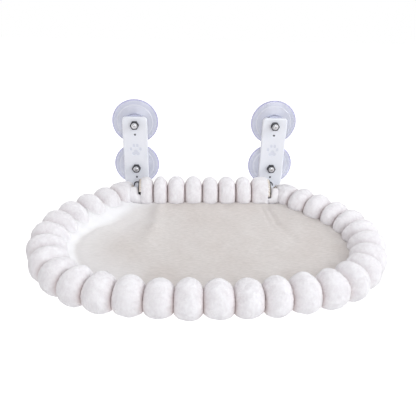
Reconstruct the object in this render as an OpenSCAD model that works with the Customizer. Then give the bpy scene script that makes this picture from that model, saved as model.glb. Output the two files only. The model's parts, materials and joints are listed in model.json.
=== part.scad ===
// Window perch for a cat: a half-moon bed with a puffed plush rim, carried by two
// brackets that hold to the glass with two suction cups each. The bed folds up
// about its rear tube.
// X runs along the window, +Y points to the glass, +Z is up. The origin lies on
// the glass, midway between the brackets, level with the lower cups.

/* [Suction cups] */
// Outer diameter of a suction cup
cup_d = 78; // [72:1:79]
// Height of a pressed-down cup, from the glass to the face of its boss
cup_h = 12.5; // [11.5:0.5:18]
// Diameter of the boss that holds the stud
cup_boss_d = 34; // [30:1:40]
// Thickness of the cup at its rim
cup_rim_t = 1.4; // [1:0.1:2]
// Diameter of the raised step on the back of the cup
cup_step_d = 60; // [52:1:64]
// Height of the back of the cup at that step
cup_step_h = 4.2; // [3.6:0.1:5]
// Height of the back of the cup where it meets the boss
cup_shoulder_h = 8.2; // [6.5:0.1:8.6]
// Diameter of the hollow that is pressed out against the glass
cup_hollow_d = 62; // [50:1:66]
// Depth of that hollow
cup_hollow_h = 2.4; // [1.5:0.1:3]

/* [Studs and nuts] */
// Thread diameter of a stud
stud_d = 8; // [6:1:9]
// Diameter of the stud's head inside the cup
stud_head_d = 21; // [16:1:24]
// Thickness of the stud's head
stud_head_t = 2.5; // [2:0.1:3]
// Rubber between the hollow and the stud's head
stud_head_cover = 2.6; // [2:0.1:3]
// Length of stud in front of the nut
stud_tip = 3; // [1:0.5:6]
// Nut across its flats
nut_af = 13; // [11:0.5:16]
// Thickness of a nut
nut_t = 6.5; // [4:0.5:8]

/* [Bracket plates] */
// Distance between the centre lines of the two brackets
bracket_spacing = 238; // [226:1:300]
// Height from the lower stud to the upper stud
stud_spacing = 79; // [79:1:110]
// Width of a plate
plate_w = 42; // [36:1:50]
// Length of the plate above its upper stud
plate_head = 13; // [11:1:20]
// Length of the plate below its lower stud
plate_foot = 34; // [33:1:36]
// Sheet thickness of the plate
plate_t = 2; // [1.2:0.1:2.5]
// Corner radius of the plate's face
plate_corner_r = 6; // [4:0.5:9]
// Rounding between the plate's face and its rim
plate_edge_r = 2; // [1:0.5:3]
// Diameter of the two small pilot holes
pilot_d = 2.4; // [1.5:0.1:4]
// Distance of each pilot hole below its stud
pilot_drop = 17.5; // [14:0.5:19]
// Overall height of the pressed paw ornament
paw_h = 23; // [14:1:26]
// Depth of the pressed ornament
paw_depth = 0.6; // [0.2:0.1:0.8]
// Wall of the rubber guide that lines the notch in the plate's foot
guide_t = 1.6; // [1:0.1:2]
// Clearance between that guide and the hinge arm
guide_gap = 0.5; // [0.3:0.1:0.8]
// Height that the guide stands proud of the plate's face
guide_lip = 0.8; // [0.4:0.1:1.2]

/* [Hinge] */
// Distance from the glass to the hinge axis
hinge_reach = 53; // [51:1:60]
// Distance of the hinge axis below the lower studs
hinge_drop = 35; // [35:1:38]
// Width of a hinge arm along the axis
arm_w = 8; // [6:0.5:9]
// Width of the arm's leg behind the plate
arm_leg_w = 24; // [18:1:30]
// Thickness of that leg
arm_leg_t = 2.5; // [1.5:0.1:3.5]
// Length of the leg above the upper stud
arm_leg_head = 9; // [7:0.5:10]
// Wall of the arm's eye around the bush
eye_wall = 2.5; // [2:0.1:3]
// Wall of the bush
bush_wall = 1; // [0.8:0.1:1.5]
// Length of bush that stands out of each side of the eye
bush_lip = 0.4; // [0.2:0.1:0.8]
// Running clearance of the tube in the bush, on the radius
bush_gap = 0.05; // [0.02:0.01:0.08]
// Outer diameter of a stop collar
collar_d = 20; // [18:1:20]
// Length of a stop collar's hub
collar_l = 8; // [6:0.5:12]
// Thickness of the collar's flange
flange_t = 2; // [1.5:0.1:3]
// Depth of the arm's underside below the hinge axis, where the stop bears
stop_drop = 7; // [6:0.5:8]
// Height of the arm's bar
arm_h = 13.5; // [12.5:0.5:14]
// Near side of the stop tooth, measured from the hinge axis
tooth_near = 13; // [12:0.5:14]
// Width of the stop tooth along the arm
tooth_w = 6; // [4:0.5:7]
// Thickness of the stop tooth
tooth_t = 4; // [3:0.5:5]
// Diameter of the screw that pins collar, tube and bow together
lock_screw_d = 4; // [3:0.5:5]

/* [Bed frame] */
// Outer diameter of the frame tube
tube_d = 14; // [12:0.5:15]
// Wall of the frame tube
tube_wall = 1.5; // [1:0.1:2]
// Straight tube between each slit and the corner beside it
corner_stub = 0.4; // [0.2:0.1:12]
// Bend radius of the rear corners
corner_r = 30; // [30:1:45]
// Turn of each rear corner, in degrees
corner_turn = 47; // [40:1:52]
// Straight run after each rear corner
side_run = 80; // [60:1:120]
// Bend radius of the shoulders
shoulder_r = 120; // [100:1:150]
// Turn of each shoulder, in degrees
shoulder_turn = 120.5; // [112:0.5:124]
// Length of the bow's ends inside the rear tube
spigot_l = 26; // [22:1:40]

/* [Puffed rim] */
// Number of puffs between the two brackets
rear_puffs = 8; // [6:1:9]
// Number of puffs on each side
side_puffs = 10; // [7:1:10]
// Number of puffs along the front
front_puffs = 9; // [6:1:9]
// Reach of a puff away from the bed, measured from the tube's axis
puff_out = 26; // [24:0.5:28]
// Reach of a puff towards the mat
puff_in = 24; // [22:0.5:26]
// Height of the side and front puffs above the tube's axis
puff_up = 26; // [22:0.5:30]
// Height of the puffs between the brackets above the tube's axis
rear_puff_up = 31; // [26:0.5:32]
// Depth of a puff below the tube's axis
puff_down = 25; // [21:0.5:28]
// Thickness of the binding on the slit edges
binding_t = 1; // [0.5:0.1:1.5]

/* [Mat and sling] */
// Height of the mat's edge below the tube's axis
mat_drop = 2; // [0:0.5:5]
// Sag of the mat's middle below its edge
mat_sag = 4; // [1:0.5:6]
// Thickness of the mat at its edge
mat_t = 12; // [9:0.5:14]
// Thickness of the sling cloth under the mat
sling_t = 1.4; // [0.8:0.1:2]

/* [Cover zip] */
// Length of the zip
zip_l = 240; // [150:1:240]
// Distance of the zip from the mat's rear edge
zip_inset = 24; // [18:1:60]
// Width of the zip tape
zip_tape_w = 24; // [18:1:30]
// Thickness of the zip tape
zip_tape_t = 0.8; // [0.5:0.1:1.2]
// Width of the row of teeth
zip_teeth_w = 5; // [4:0.5:6]
// Height of the row of teeth
zip_teeth_t = 1.6; // [1.2:0.1:2]
// Length of the slider
slider_l = 12; // [10:0.5:16]
// Wall of the slider
slider_wall = 1.4; // [1:0.1:2]
// Length of the pull tab
pull_l = 14; // [10:0.5:20]
// Width of the pull tab
pull_w = 6; // [5:0.5:8]
// Thickness of the pull tab
pull_t = 1.4; // [1:0.1:2]

/* [Hidden] */

$fn = 64;
// Overrun of a cut past the face that it leaves
cut = 1;
// Face-to-face gap left between soft pieces
seat_gap = 0.3;

white_coat = [0.93, 0.94, 0.97];
clear_vinyl = [0.80, 0.83, 0.95, 0.55];
plush_white = [0.97, 0.96, 0.95];
mat_cream = [0.95, 0.93, 0.90];
tape_tan = [0.80, 0.69, 0.56];
steel = [0.75, 0.76, 0.78];
black = [0.10, 0.10, 0.12];

bracket_x = bracket_spacing / 2;
leg_face = cup_h + arm_leg_t;
plate_face = leg_face + plate_t;
nut_face = plate_face + nut_t;
// The plate's rim stops just short of the cups' faces
plate_back_gap = 0.1;
plate_depth = plate_t + arm_leg_t - plate_back_gap;
stud_clear = 0.3;
thread_gap = 0.05;
pilot_sides = 24;

tube_r = tube_d / 2;
bore_r = tube_r - tube_wall;
axis_y = -hinge_reach;
axis_z = -hinge_drop;
bush_r = tube_r + bush_gap + bush_wall;
eye_r = bush_r + eye_wall;
collar_clear = 0.3;
// Where the collar, the rim and its bindings start beside each arm
collar_x = bracket_x - arm_w / 2 - bush_lip - collar_clear;
lock_x = collar_x - flange_t - collar_l / 2;
rear_rim_end = collar_x - flange_t - seat_gap - binding_t;
side_rim_start = bracket_x + arm_w / 2 + bush_lip + 4 * seat_gap + binding_t;

// Half outline of the rim's centre line: a straight rear half, a corner, a side
// run, a shoulder and half of the front arc, each starting where the last ends
rear_half = side_rim_start + corner_stub;
front_turn = 180 - corner_turn - shoulder_turn;
corner_end_x = rear_half + corner_r * sin(corner_turn);
corner_end_y = axis_y - corner_r * (1 - cos(corner_turn));
side_end_x = corner_end_x + side_run * cos(corner_turn);
side_end_y = corner_end_y - side_run * sin(corner_turn);
full_turn = corner_turn + shoulder_turn;
shoulder_end_x = side_end_x + shoulder_r * (sin(full_turn) - sin(corner_turn));
shoulder_end_y = side_end_y - shoulder_r * (cos(corner_turn) - cos(full_turn));
front_r = shoulder_end_x / sin(full_turn);

function arc_length(radius, turn) = radius * turn * PI / 180;
s_corner = rear_half;
s_side = s_corner + arc_length(corner_r, corner_turn);
s_shoulder = s_side + side_run;
s_front = s_shoulder + arc_length(shoulder_r, shoulder_turn);
half_length = s_front + arc_length(front_r, front_turn);

// A place on an arc: start point, heading at the start, radius and turn so far
function along_arc(x, y, heading, radius, turn) = [
  x + radius * (sin(heading + turn) - sin(heading)),
  y - radius * (cos(heading) - cos(heading + turn)),
  heading + turn
];

function turned(length, radius) = length / radius * 180 / PI;

// Place and heading [x, y, degrees] at a distance s from the rear middle
function half_place(s) =
  s < s_corner ? [s, axis_y, 0]
  : s < s_side ? along_arc(rear_half, axis_y, 0, corner_r, turned(s - s_corner, corner_r))
  : s < s_shoulder ? [
      corner_end_x + (s - s_side) * cos(corner_turn),
      corner_end_y - (s - s_side) * sin(corner_turn),
      corner_turn
    ]
  : s < s_front ? along_arc(side_end_x, side_end_y, corner_turn,
      shoulder_r, turned(s - s_shoulder, shoulder_r))
  : along_arc(shoulder_end_x, shoulder_end_y, full_turn, front_r, turned(s - s_front, front_r));

function flipped(place) = [-place[0], place[1], -place[2]];

function place_at(s) =
  s < 0 ? flipped(half_place(-s))
  : s <= half_length ? half_place(s)
  : flipped(half_place(2 * half_length - s));

// Unit vector away from the bed; on the left half the flipped heading gives it too
function outward(place) = [sin(place[2]), cos(place[2])];

function beside(place, reach) = [
  place[0] + outward(place)[0] * reach,
  place[1] + outward(place)[1] * reach
];

// Puffed rim
rim_sides = 16;
channel_sides = 8;
channel_gap = 1;
rear_channel_r = collar_d / 2 + seat_gap;
side_channel_r = tube_r + channel_gap;
crease_share = 0.74;
// Share of the full swell left to the puff beside each slit
slit_puff_share = 0.45;
// Rings inside one puff, as shares of its length
ring_shares = [0, 0.17, 0.5, 0.83];
swell_flatness = 3;
swell_power = 0.6;
loop_rim_end = 2 * half_length - side_rim_start;
curved_rim_length = loop_rim_end - side_rim_start;
front_rim_share = 0.335;
side_rim_length = curved_rim_length * (1 - front_rim_share) / 2;

// Share of the full reach at a share u of one puff's length
function swell(u) = crease_share
  + (1 - crease_share) * pow(1 - pow(abs(2 * u - 1), swell_flatness), swell_power);

// Point of a rim section: place on the centre line, angle up from outward, share
function rim_point(place, angle, share, up) =
  let (
    reach = (cos(angle) > 0 ? puff_out : puff_in) * cos(angle) * share,
    rise = (sin(angle) > 0 ? up : puff_down) * sin(angle) * share,
    spot = beside(place, reach)
  ) [spot[0], spot[1], axis_z + rise];

function channel_point(place, angle, radius) =
  let (
    corner = radius / cos(180 / channel_sides),
    spot = beside(place, corner * cos(angle))
  ) [spot[0], spot[1], axis_z + corner * sin(angle)];

function ring_points(place, share, up, channel_r) = concat(
  [for (k = [0 : rim_sides - 1]) rim_point(place, 360 * k / rim_sides, share, up)],
  [for (k = [0 : channel_sides - 1]) channel_point(place, 360 * k / channel_sides, channel_r)]
);

// Two triangles for each side of a tube wall between ring a and ring b
function wall(a, b, first, sides) = [
  for (k = [0 : sides - 1], half = [0, 1])
    let (next = (k + 1) % sides)
    half == 0 ? [a + first + k, b + first + k, b + first + next]
    : [a + first + k, b + first + next, a + first + next]
];

function turned_over(faces) = [for (face = faces) [face[2], face[1], face[0]]];

// Triangles that close the ring starting at point a, between rim and channel
function ring_cap(a) = [
  for (k = [0 : channel_sides - 1], part = [0, 1, 2])
    let (
      outer_a = a + 2 * k,
      outer_b = a + 2 * k + 1,
      outer_c = a + (2 * k + 2) % rim_sides,
      inner_a = a + rim_sides + k,
      inner_b = a + rim_sides + (k + 1) % channel_sides
    )
    part == 0 ? [outer_a, outer_b, inner_a]
    : part == 1 ? [outer_b, inner_b, inner_a]
    : [outer_b, outer_c, inner_b]
];

// One length of puffed rim from s_from to s_to, closed at both ends
module puffed_rim(s_from, s_to, puffs, up, channel_r, first_share, last_share) {
  pitch = (s_to - s_from) / puffs;
  rings = concat(
    [for (puff = [0 : puffs - 1], u = ring_shares) [puff, u]],
    [[puffs - 1, 1]]
  );
  ring_size = rim_sides + channel_sides;
  points = [
    for (ring = rings)
      let (
        s = s_from + pitch * (ring[0] + ring[1]),
        side_share = ring[0] == 0 ? first_share : ring[0] == puffs - 1 ? last_share : 1,
        full = swell(ring[1]),
        share = crease_share + (full - crease_share) * side_share
      )
      each ring_points(place_at(s), share, up, channel_r)
  ];
  last = (len(rings) - 1) * ring_size;
  faces = concat(
    [for (i = [0 : len(rings) - 2]) each wall(i * ring_size, (i + 1) * ring_size, 0, rim_sides)],
    [
      for (i = [0 : len(rings) - 2])
        each turned_over(wall(i * ring_size, (i + 1) * ring_size, rim_sides, channel_sides))
    ],
    ring_cap(0),
    turned_over(ring_cap(last))
  );
  polyhedron(points = points, faces = faces, convexity = 10);
}

module rim_rear() {
  color(plush_white)
  puffed_rim(-rear_rim_end, rear_rim_end, rear_puffs, rear_puff_up, rear_channel_r, 1, 1);
}

module rim_right() {
  color(plush_white)
  puffed_rim(side_rim_start, side_rim_start + side_rim_length, side_puffs,
    puff_up, side_channel_r, slit_puff_share, 1);
}

module rim_front() {
  color(plush_white)
  puffed_rim(side_rim_start + side_rim_length, loop_rim_end - side_rim_length, front_puffs,
    puff_up, side_channel_r, 1, 1);
}

module rim_left() {
  color(plush_white)
  puffed_rim(loop_rim_end - side_rim_length, loop_rim_end, side_puffs,
    puff_up, side_channel_r, 1, slit_puff_share);
}

// Bound edge of the rim at a slit: a flat band round the end of the puffs
binding_w = 4;
module binding_band(up) {
  outer = [
    for (k = [0 : rim_sides - 1])
      let (angle = 360 * k / rim_sides)
      [
        (cos(angle) > 0 ? puff_out : puff_in) * cos(angle) * crease_share,
        (sin(angle) > 0 ? up : puff_down) * sin(angle) * crease_share
      ]
  ];
  narrowing = 1 - binding_w / (puff_down * crease_share);
  linear_extrude(binding_t)
  difference() {
    polygon(outer);
    polygon(outer * narrowing);
  }
}

// The bands stand in planes across X; side is 1 on the right and -1 on the left
module slit_binding(side) {
  rear_start = side > 0 ? rear_rim_end : -rear_rim_end - binding_t;
  side_start = side > 0 ? side_rim_start - binding_t : -side_rim_start;
  color(tape_tan) {
    translate([rear_start, axis_y, axis_z])
    rotate([90, 0, 90])
    binding_band(rear_puff_up);
    translate([side_start, axis_y, axis_z])
    rotate([90, 0, 90])
    binding_band(puff_up);
  }
}

module slit_binding_left() { slit_binding(-1); }
module slit_binding_right() { slit_binding(1); }

// Mat and sling follow the rim's centre line, each set in by its own distance
mat_edge = puff_in + seat_gap;
sling_edge = puff_in * sqrt(1 - pow((mat_drop + mat_t) / puff_down, 2)) + seat_gap;
mat_top = axis_z - mat_drop;
mat_bottom = mat_top - mat_t;
outline_points = 64;
mat_rings = [1, 0.93, 0.8, 0.55, 0.28];
mat_middle_y = (axis_y + shoulder_end_y) / 2;

function inset_outline(inset) = [
  for (k = [0 : outline_points - 1])
    beside(place_at(2 * half_length * k / outline_points), -inset)
];

// The mat's top dips from its edge to the middle
function mat_height(share) = mat_top - mat_sag * (1 - pow(share, 2));

module sleeping_mat() {
  edge = inset_outline(mat_edge);
  n = outline_points;
  top = [
    for (share = mat_rings, spot = edge)
      [spot[0] * share, mat_middle_y + (spot[1] - mat_middle_y) * share, mat_height(share)]
  ];
  bottom = [for (spot = edge) [spot[0], spot[1], mat_bottom]];
  points = concat(top, [[0, mat_middle_y, mat_height(0)]], bottom, [[0, mat_middle_y, mat_bottom]]);
  inner = (len(mat_rings) - 1) * n;
  centre = len(mat_rings) * n;
  low = centre + 1;
  faces = concat(
    [for (i = [0 : len(mat_rings) - 2]) each wall(i * n, (i + 1) * n, 0, n)],
    [for (k = [0 : n - 1]) [inner + k, centre, inner + (k + 1) % n]],
    wall(low, 0, 0, n),
    [for (k = [0 : n - 1]) [low + (k + 1) % n, low + n, low + k]]
  );
  color(mat_cream)
  polyhedron(points = points, faces = faces, convexity = 10);
}

module sling_cloth() {
  color(mat_cream)
  translate([0, 0, mat_bottom - sling_t])
  linear_extrude(sling_t)
  polygon(inset_outline(sling_edge));
}

// Bed frame: a straight rear tube and a bow that plugs into it
spigot_gap = 0.1;
spigot_wall = 1.4;
bow_sides = 12;
// Flats of the bow's ends, so that their corners clear the rear tube's bore
spigot_r = (bore_r - spigot_gap) * cos(180 / bow_sides);
spigot_bore_r = spigot_r - spigot_wall;
corner_steps = 5;
shoulder_steps = 12;
front_steps = 3;

function stations(s_from, s_to, steps) = [
  for (i = [1 : steps]) s_from + (s_to - s_from) * i / steps
];

half_stations = concat(
  stations(s_corner, s_side, corner_steps),
  [s_shoulder],
  stations(s_shoulder, s_front, shoulder_steps),
  stations(s_front, half_length, front_steps)
);

// Rings of the bow's right half: outer place and radius, inner place and radius
half_bow_rings = concat(
  [
    [s_corner - spigot_l, spigot_r, s_corner - spigot_l, spigot_bore_r],
    [s_corner, spigot_r, s_corner - tube_wall, spigot_bore_r],
    [s_corner, tube_r, s_corner, spigot_bore_r]
  ],
  [for (s = half_stations) [s, tube_r, s, bore_r]]
);
bow_rings = concat(
  half_bow_rings,
  [
    for (i = [len(half_bow_rings) - 2 : -1 : 0])
      let (ring = half_bow_rings[i])
      [2 * half_length - ring[0], ring[1], 2 * half_length - ring[2], ring[3]]
  ]
);

// Ring of a tube whose flats lie at the given radius, one of them underneath
function tube_points(place, radius) = [
  for (k = [0 : bow_sides - 1])
    let (
      angle = 360 * (k + 0.5) / bow_sides,
      corner = radius / cos(180 / bow_sides),
      spot = beside(place, corner * cos(angle))
    )
    [spot[0], spot[1], axis_z + corner * sin(angle)]
];

module frame_bow() {
  ring_size = 2 * bow_sides;
  points = [
    for (ring = bow_rings)
      each concat(
        tube_points(place_at(ring[0]), ring[1]),
        tube_points(place_at(ring[2]), ring[3])
      )
  ];
  last = (len(bow_rings) - 1) * ring_size;
  end_cap = [
    for (k = [0 : bow_sides - 1], half = [0, 1])
      let (next = (k + 1) % bow_sides)
      half == 0 ? [k, next, bow_sides + k]
      : [next, bow_sides + next, bow_sides + k]
  ];
  faces = concat(
    [
      for (i = [0 : len(bow_rings) - 2])
        each wall(i * ring_size, (i + 1) * ring_size, 0, bow_sides)
    ],
    [
      for (i = [0 : len(bow_rings) - 2])
        each turned_over(wall(i * ring_size, (i + 1) * ring_size, bow_sides, bow_sides))
    ],
    end_cap,
    [for (face = turned_over(end_cap)) [face[0] + last, face[1] + last, face[2] + last]]
  );
  color(white_coat)
  polyhedron(points = points, faces = faces, convexity = 10);
}

module lock_hole() {
  translate([lock_x, axis_y, axis_z - collar_d])
  cylinder(d = lock_screw_d + 2 * thread_gap, h = collar_d);
}

module frame_rear_tube() {
  color(white_coat)
  difference() {
    translate([-rear_half, axis_y, axis_z])
    rotate([0, 90, 0])
    linear_extrude(2 * rear_half)
    difference() {
      circle(r = tube_r);
      circle(r = bore_r);
    }
    lock_hole();
    mirror([1, 0, 0])
    lock_hole();
  }
}

// A set screw that passes collar and tube and bears on the flat of the bow's end
module lock_screw() {
  key_d = lock_screw_d / 2;
  screw_end = collar_d / 2 - seat_gap;
  translate([lock_x, axis_y, axis_z - screw_end])
  difference() {
    cylinder(d = lock_screw_d, h = screw_end - spigot_r);
    translate([0, 0, -cut])
    cylinder(d = key_d, h = key_d + cut, $fn = 6);
  }
}

module lock_screws() {
  color(steel)
  for (side = [0, 1]) {
    mirror([side, 0, 0])
    lock_screw();
  }
}

// Stop collar: a hub, a flange and a tooth that bears on the arm's underside
stop_gap = 0.2;
tooth_top = -stop_drop - stop_gap;
tooth_far = tooth_near + tooth_w;
module stop_collar(side) {
  color(black)
  mirror([side, 0, 0])
  difference() {
    union() {
      translate([collar_x - flange_t - collar_l, axis_y, axis_z])
      rotate([0, 90, 0])
      cylinder(d = collar_d, h = collar_l + flange_t);
      translate([collar_x - flange_t, axis_y, axis_z])
      rotate([90, 0, 90])
      linear_extrude(flange_t)
      polygon([
        [0, -collar_d / 2],
        [tooth_near, tooth_top - tooth_t],
        [tooth_far, tooth_top - tooth_t],
        [tooth_far, tooth_top],
        [collar_d / 2, 0],
        [0, 0]
      ]);
      translate([collar_x - cut, axis_y + tooth_near, axis_z + tooth_top - tooth_t])
      cube([bracket_x + arm_w / 4 - collar_x + cut, tooth_w, tooth_t]);
    }
    translate([0, axis_y, axis_z])
    rotate([0, 90, 0])
    cylinder(r = tube_r, h = bracket_spacing);
    lock_hole();
  }
}

module stop_collar_left() { stop_collar(1); }
module stop_collar_right() { stop_collar(0); }

// Upright bar end with a half-round top, centred on x = 0 and its round at y = 0
bar_round = arm_w / 2;
bar_top = axis_z - stop_drop + arm_h;
round_z = bar_top - bar_round;
module arched_outline(r, height) {
  circle(r = r);
  translate([-r, -height])
  square([2 * r, height]);
}

// Hinge arm: a leg behind the plate, a bar through the plate's notch and an eye
module hinge_arm(side) {
  leg_bottom = bar_top - arm_h;
  leg_top = stud_spacing + arm_leg_head;
  color(white_coat)
  mirror([side, 0, 0])
  translate([bracket_x, 0, 0])
  difference() {
    union() {
      translate([-arm_leg_w / 2, -leg_face, leg_bottom])
      cube([arm_leg_w, arm_leg_t, leg_top - leg_bottom]);
      translate([0, -cup_h - arm_leg_t / 2, round_z])
      rotate([90, 0, 0])
      linear_extrude(hinge_reach - cup_h - arm_leg_t / 2)
      arched_outline(bar_round, round_z - leg_bottom);
      translate([-arm_w / 2, axis_y, axis_z])
      rotate([0, 90, 0])
      cylinder(r = eye_r, h = arm_w);
    }
    translate([-arm_w / 2 - cut, axis_y, axis_z])
    rotate([0, 90, 0])
    cylinder(r = bush_r, h = arm_w + 2 * cut);
    for (z = [0, stud_spacing]) {
      translate([0, -cup_h + cut, z])
      rotate([90, 0, 0])
      cylinder(d = stud_d + stud_clear, h = arm_leg_t + 2 * cut);
      translate([0, -cup_h + cut, z - pilot_drop])
      rotate([90, 0, 0])
      cylinder(d = pilot_d, h = arm_leg_t + 2 * cut, $fn = pilot_sides);
    }
  }
}

module hinge_arm_left() { hinge_arm(1); }
module hinge_arm_right() { hinge_arm(0); }

module hinge_bush(side) {
  length = arm_w + 2 * bush_lip;
  color(steel)
  mirror([side, 0, 0])
  translate([bracket_x - length / 2, axis_y, axis_z])
  rotate([0, 90, 0])
  difference() {
    cylinder(r = bush_r, h = length);
    translate([0, 0, -cut])
    cylinder(r = tube_r + bush_gap, h = length + 2 * cut);
  }
}

module hinge_bush_left() { hinge_bush(1); }
module hinge_bush_right() { hinge_bush(0); }

// Rounded rectangle about the origin
module rounded_face(w, h, r) {
  square([w - 2 * r, h], center = true);
  square([w, h - 2 * r], center = true);
  for (x = [-1, 1], y = [-1, 1]) {
    translate([x * (w / 2 - r), y * (h / 2 - r)])
    circle(r = r);
  }
}

// Block with rounded corners whose front edges are rounded too
module pressed_block(w, h, depth, corner, edge) {
  linear_extrude(depth - edge)
  rounded_face(w, h, corner);
  linear_extrude(depth)
  rounded_face(w - 2 * edge, h - 2 * edge, corner - edge);
  for (side = [-1, 1]) {
    translate([side * (w / 2 - edge), -(h / 2 - corner), depth - edge])
    rotate([-90, 0, 0])
    cylinder(r = edge, h = h - 2 * corner);
    translate([-(w / 2 - corner), side * (h / 2 - edge), depth - edge])
    rotate([0, 90, 0])
    cylinder(r = edge, h = w - 2 * corner);
  }
  for (x = [-1, 1], y = [-1, 1]) {
    translate([x * (w / 2 - corner), y * (h / 2 - corner), depth - edge])
    rotate_extrude()
    translate([corner - edge, 0])
    circle(r = edge);
  }
}

// Two circles and the strip between them
module bean(from, to, r) {
  run = to - from;
  length = norm(run);
  translate(from)
  circle(r = r);
  translate(to)
  circle(r = r);
  translate(from)
  rotate(atan2(run[1], run[0]))
  translate([0, -r])
  square([length, 2 * r]);
}

// Plain paw: four toes over a three-lobed pad, in shares of its height
paw_toe_shares = [[-0.35, 0.02], [-0.13, 0.30], [0.13, 0.30], [0.35, 0.02]];
paw_toe_r_share = 0.09;
paw_toe_rise_share = 0.1;
paw_lobe_shares = [[-0.14, -0.30], [0.14, -0.30], [0, -0.12]];
paw_lobe_r_share = 0.145;
// Height of the paw's middle between the studs
paw_place_share = 0.425;
module paw_outline() {
  for (toe = paw_toe_shares) {
    bean(toe * paw_h, (toe + [0, paw_toe_rise_share]) * paw_h, paw_toe_r_share * paw_h);
  }
  for (lobe = paw_lobe_shares) {
    translate(lobe * paw_h)
    circle(r = paw_lobe_r_share * paw_h);
  }
  polygon(paw_lobe_shares * paw_h);
}

// Bracket plate: a pressed tray with its open side towards the cups
module bracket_plate(side) {
  plate_h = plate_foot + stud_spacing + plate_head;
  middle_z = (stud_spacing + plate_head - plate_foot) / 2;
  slot_w = arm_leg_w + 2 * seat_gap;
  color(white_coat)
  mirror([side, 0, 0])
  translate([bracket_x, -plate_face + plate_depth, middle_z])
  rotate([90, 0, 0])
  difference() {
    pressed_block(plate_w, plate_h, plate_depth, plate_corner_r, plate_edge_r);
    translate([0, 0, -cut])
    linear_extrude(plate_depth - plate_t + cut)
    rounded_face(plate_w - 2 * plate_t, plate_h - 2 * plate_t, plate_corner_r - plate_t);
    for (z = [0, stud_spacing]) {
      translate([0, z - middle_z, 0])
      cylinder(d = stud_d + stud_clear, h = plate_depth + cut);
      translate([0, z - middle_z - pilot_drop, 0])
      cylinder(d = pilot_d, h = plate_depth + cut, $fn = pilot_sides);
    }
    translate([-slot_w / 2, -plate_h / 2 - cut, -cut])
    cube([slot_w, plate_t + 2 * cut, plate_depth - plate_t + cut]);
    translate([0, round_z - middle_z, -cut])
    linear_extrude(plate_depth + 2 * cut)
    arched_outline(notch_r, plate_foot);
    translate([0, stud_spacing * paw_place_share - middle_z, plate_depth - paw_depth])
    linear_extrude(paw_depth + cut)
    paw_outline();
  }
}

// Arched rubber guide that lines the notch in front of the arm's leg
notch_r = bar_round + guide_gap + guide_t;
module foot_guide(side) {
  color(black)
  mirror([side, 0, 0])
  translate([bracket_x, -leg_face, round_z])
  rotate([90, 0, 0])
  linear_extrude(plate_t + guide_lip)
  difference() {
    arched_outline(notch_r, plate_foot + round_z);
    arched_outline(notch_r - guide_t, plate_foot);
  }
}

module foot_guide_left() { foot_guide(1); }
module foot_guide_right() { foot_guide(0); }
module plate_left() { bracket_plate(1); }
module plate_right() { bracket_plate(0); }

// Turns a piece drawn along +Z so that it stands out from the glass at x, z
module on_glass(x, z) {
  translate([x, 0, z])
  rotate([90, 0, 0])
  children();
}

cup_r = cup_d / 2;
boss_r = cup_boss_d / 2;
head_base = cup_hollow_h + stud_head_cover;
module suction_cup(x, z) {
  step_r = cup_step_d / 2;
  step_rise = (cup_step_h - cup_rim_t) / 4;
  boss_draft = (cup_h - cup_shoulder_h) / 8;
  color(clear_vinyl)
  on_glass(x, z)
  difference() {
    rotate_extrude()
    polygon([
      [0, cup_hollow_h],
      [cup_hollow_d / 4, cup_hollow_h * 0.85],
      [cup_hollow_d / 2, 0],
      [cup_r, 0],
      [cup_r, cup_rim_t / 2],
      [cup_r - cup_rim_t / 2, cup_rim_t],
      [step_r, cup_step_h - step_rise],
      [step_r - step_rise, cup_step_h],
      [boss_r, cup_shoulder_h],
      [boss_r - boss_draft, cup_h],
      [0, cup_h]
    ]);
    translate([0, 0, head_base])
    cylinder(d = stud_head_d, h = stud_head_t);
    translate([0, 0, head_base])
    cylinder(d = stud_d, h = cup_h);
  }
}

module cup_left_upper() { suction_cup(-bracket_x, stud_spacing); }
module cup_left_lower() { suction_cup(-bracket_x, 0); }
module cup_right_upper() { suction_cup(bracket_x, stud_spacing); }
module cup_right_lower() { suction_cup(bracket_x, 0); }

module cup_stud(x, z) {
  chamfer = stud_d / 8;
  shank = nut_face + stud_tip - head_base;
  color(steel)
  on_glass(x, z)
  translate([0, 0, head_base]) {
    cylinder(d = stud_head_d, h = stud_head_t);
    cylinder(d = stud_d, h = shank - chamfer);
    translate([0, 0, shank - chamfer])
    cylinder(d1 = stud_d, d2 = stud_d - 2 * chamfer, h = chamfer);
  }
}

module stud_left_upper() { cup_stud(-bracket_x, stud_spacing); }
module stud_left_lower() { cup_stud(-bracket_x, 0); }
module stud_right_upper() { cup_stud(bracket_x, stud_spacing); }
module stud_right_lower() { cup_stud(bracket_x, 0); }

module hex_nut(x, z) {
  corner_d = nut_af / cos(30);
  bevel = (corner_d - nut_af) / 2;
  color(steel)
  on_glass(x, z)
  translate([0, 0, plate_face])
  difference() {
    intersection() {
      cylinder(d = corner_d, h = nut_t, $fn = 6);
      union() {
        cylinder(d = corner_d, h = nut_t - bevel);
        translate([0, 0, nut_t - bevel])
        cylinder(d1 = corner_d, d2 = nut_af, h = bevel);
      }
    }
    translate([0, 0, -cut])
    cylinder(d = stud_d + 2 * thread_gap, h = nut_t + 2 * cut);
  }
}

module nut_left_upper() { hex_nut(-bracket_x, stud_spacing); }
module nut_left_lower() { hex_nut(-bracket_x, 0); }
module nut_right_upper() { hex_nut(bracket_x, stud_spacing); }
module nut_right_lower() { hex_nut(bracket_x, 0); }

// Cover zip under the sling, along X
zip_y = axis_y - mat_edge - zip_inset;
zip_top = mat_bottom - sling_t;
teeth_top = zip_top - zip_tape_t;
teeth_bottom = teeth_top - zip_teeth_t;
slider_gap = 0.3;
slider_inner_w = zip_teeth_w + 2 * slider_gap;
slider_outer_w = slider_inner_w + 2 * slider_wall;
slider_top = teeth_top - slider_gap;
slider_bottom = teeth_bottom - slider_gap - slider_wall;
// The slider stands closed, near the right end of the zip
end_stop_l = 3;
slider_x = zip_l / 2 - end_stop_l - slider_l / 2 - slider_gap;

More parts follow.
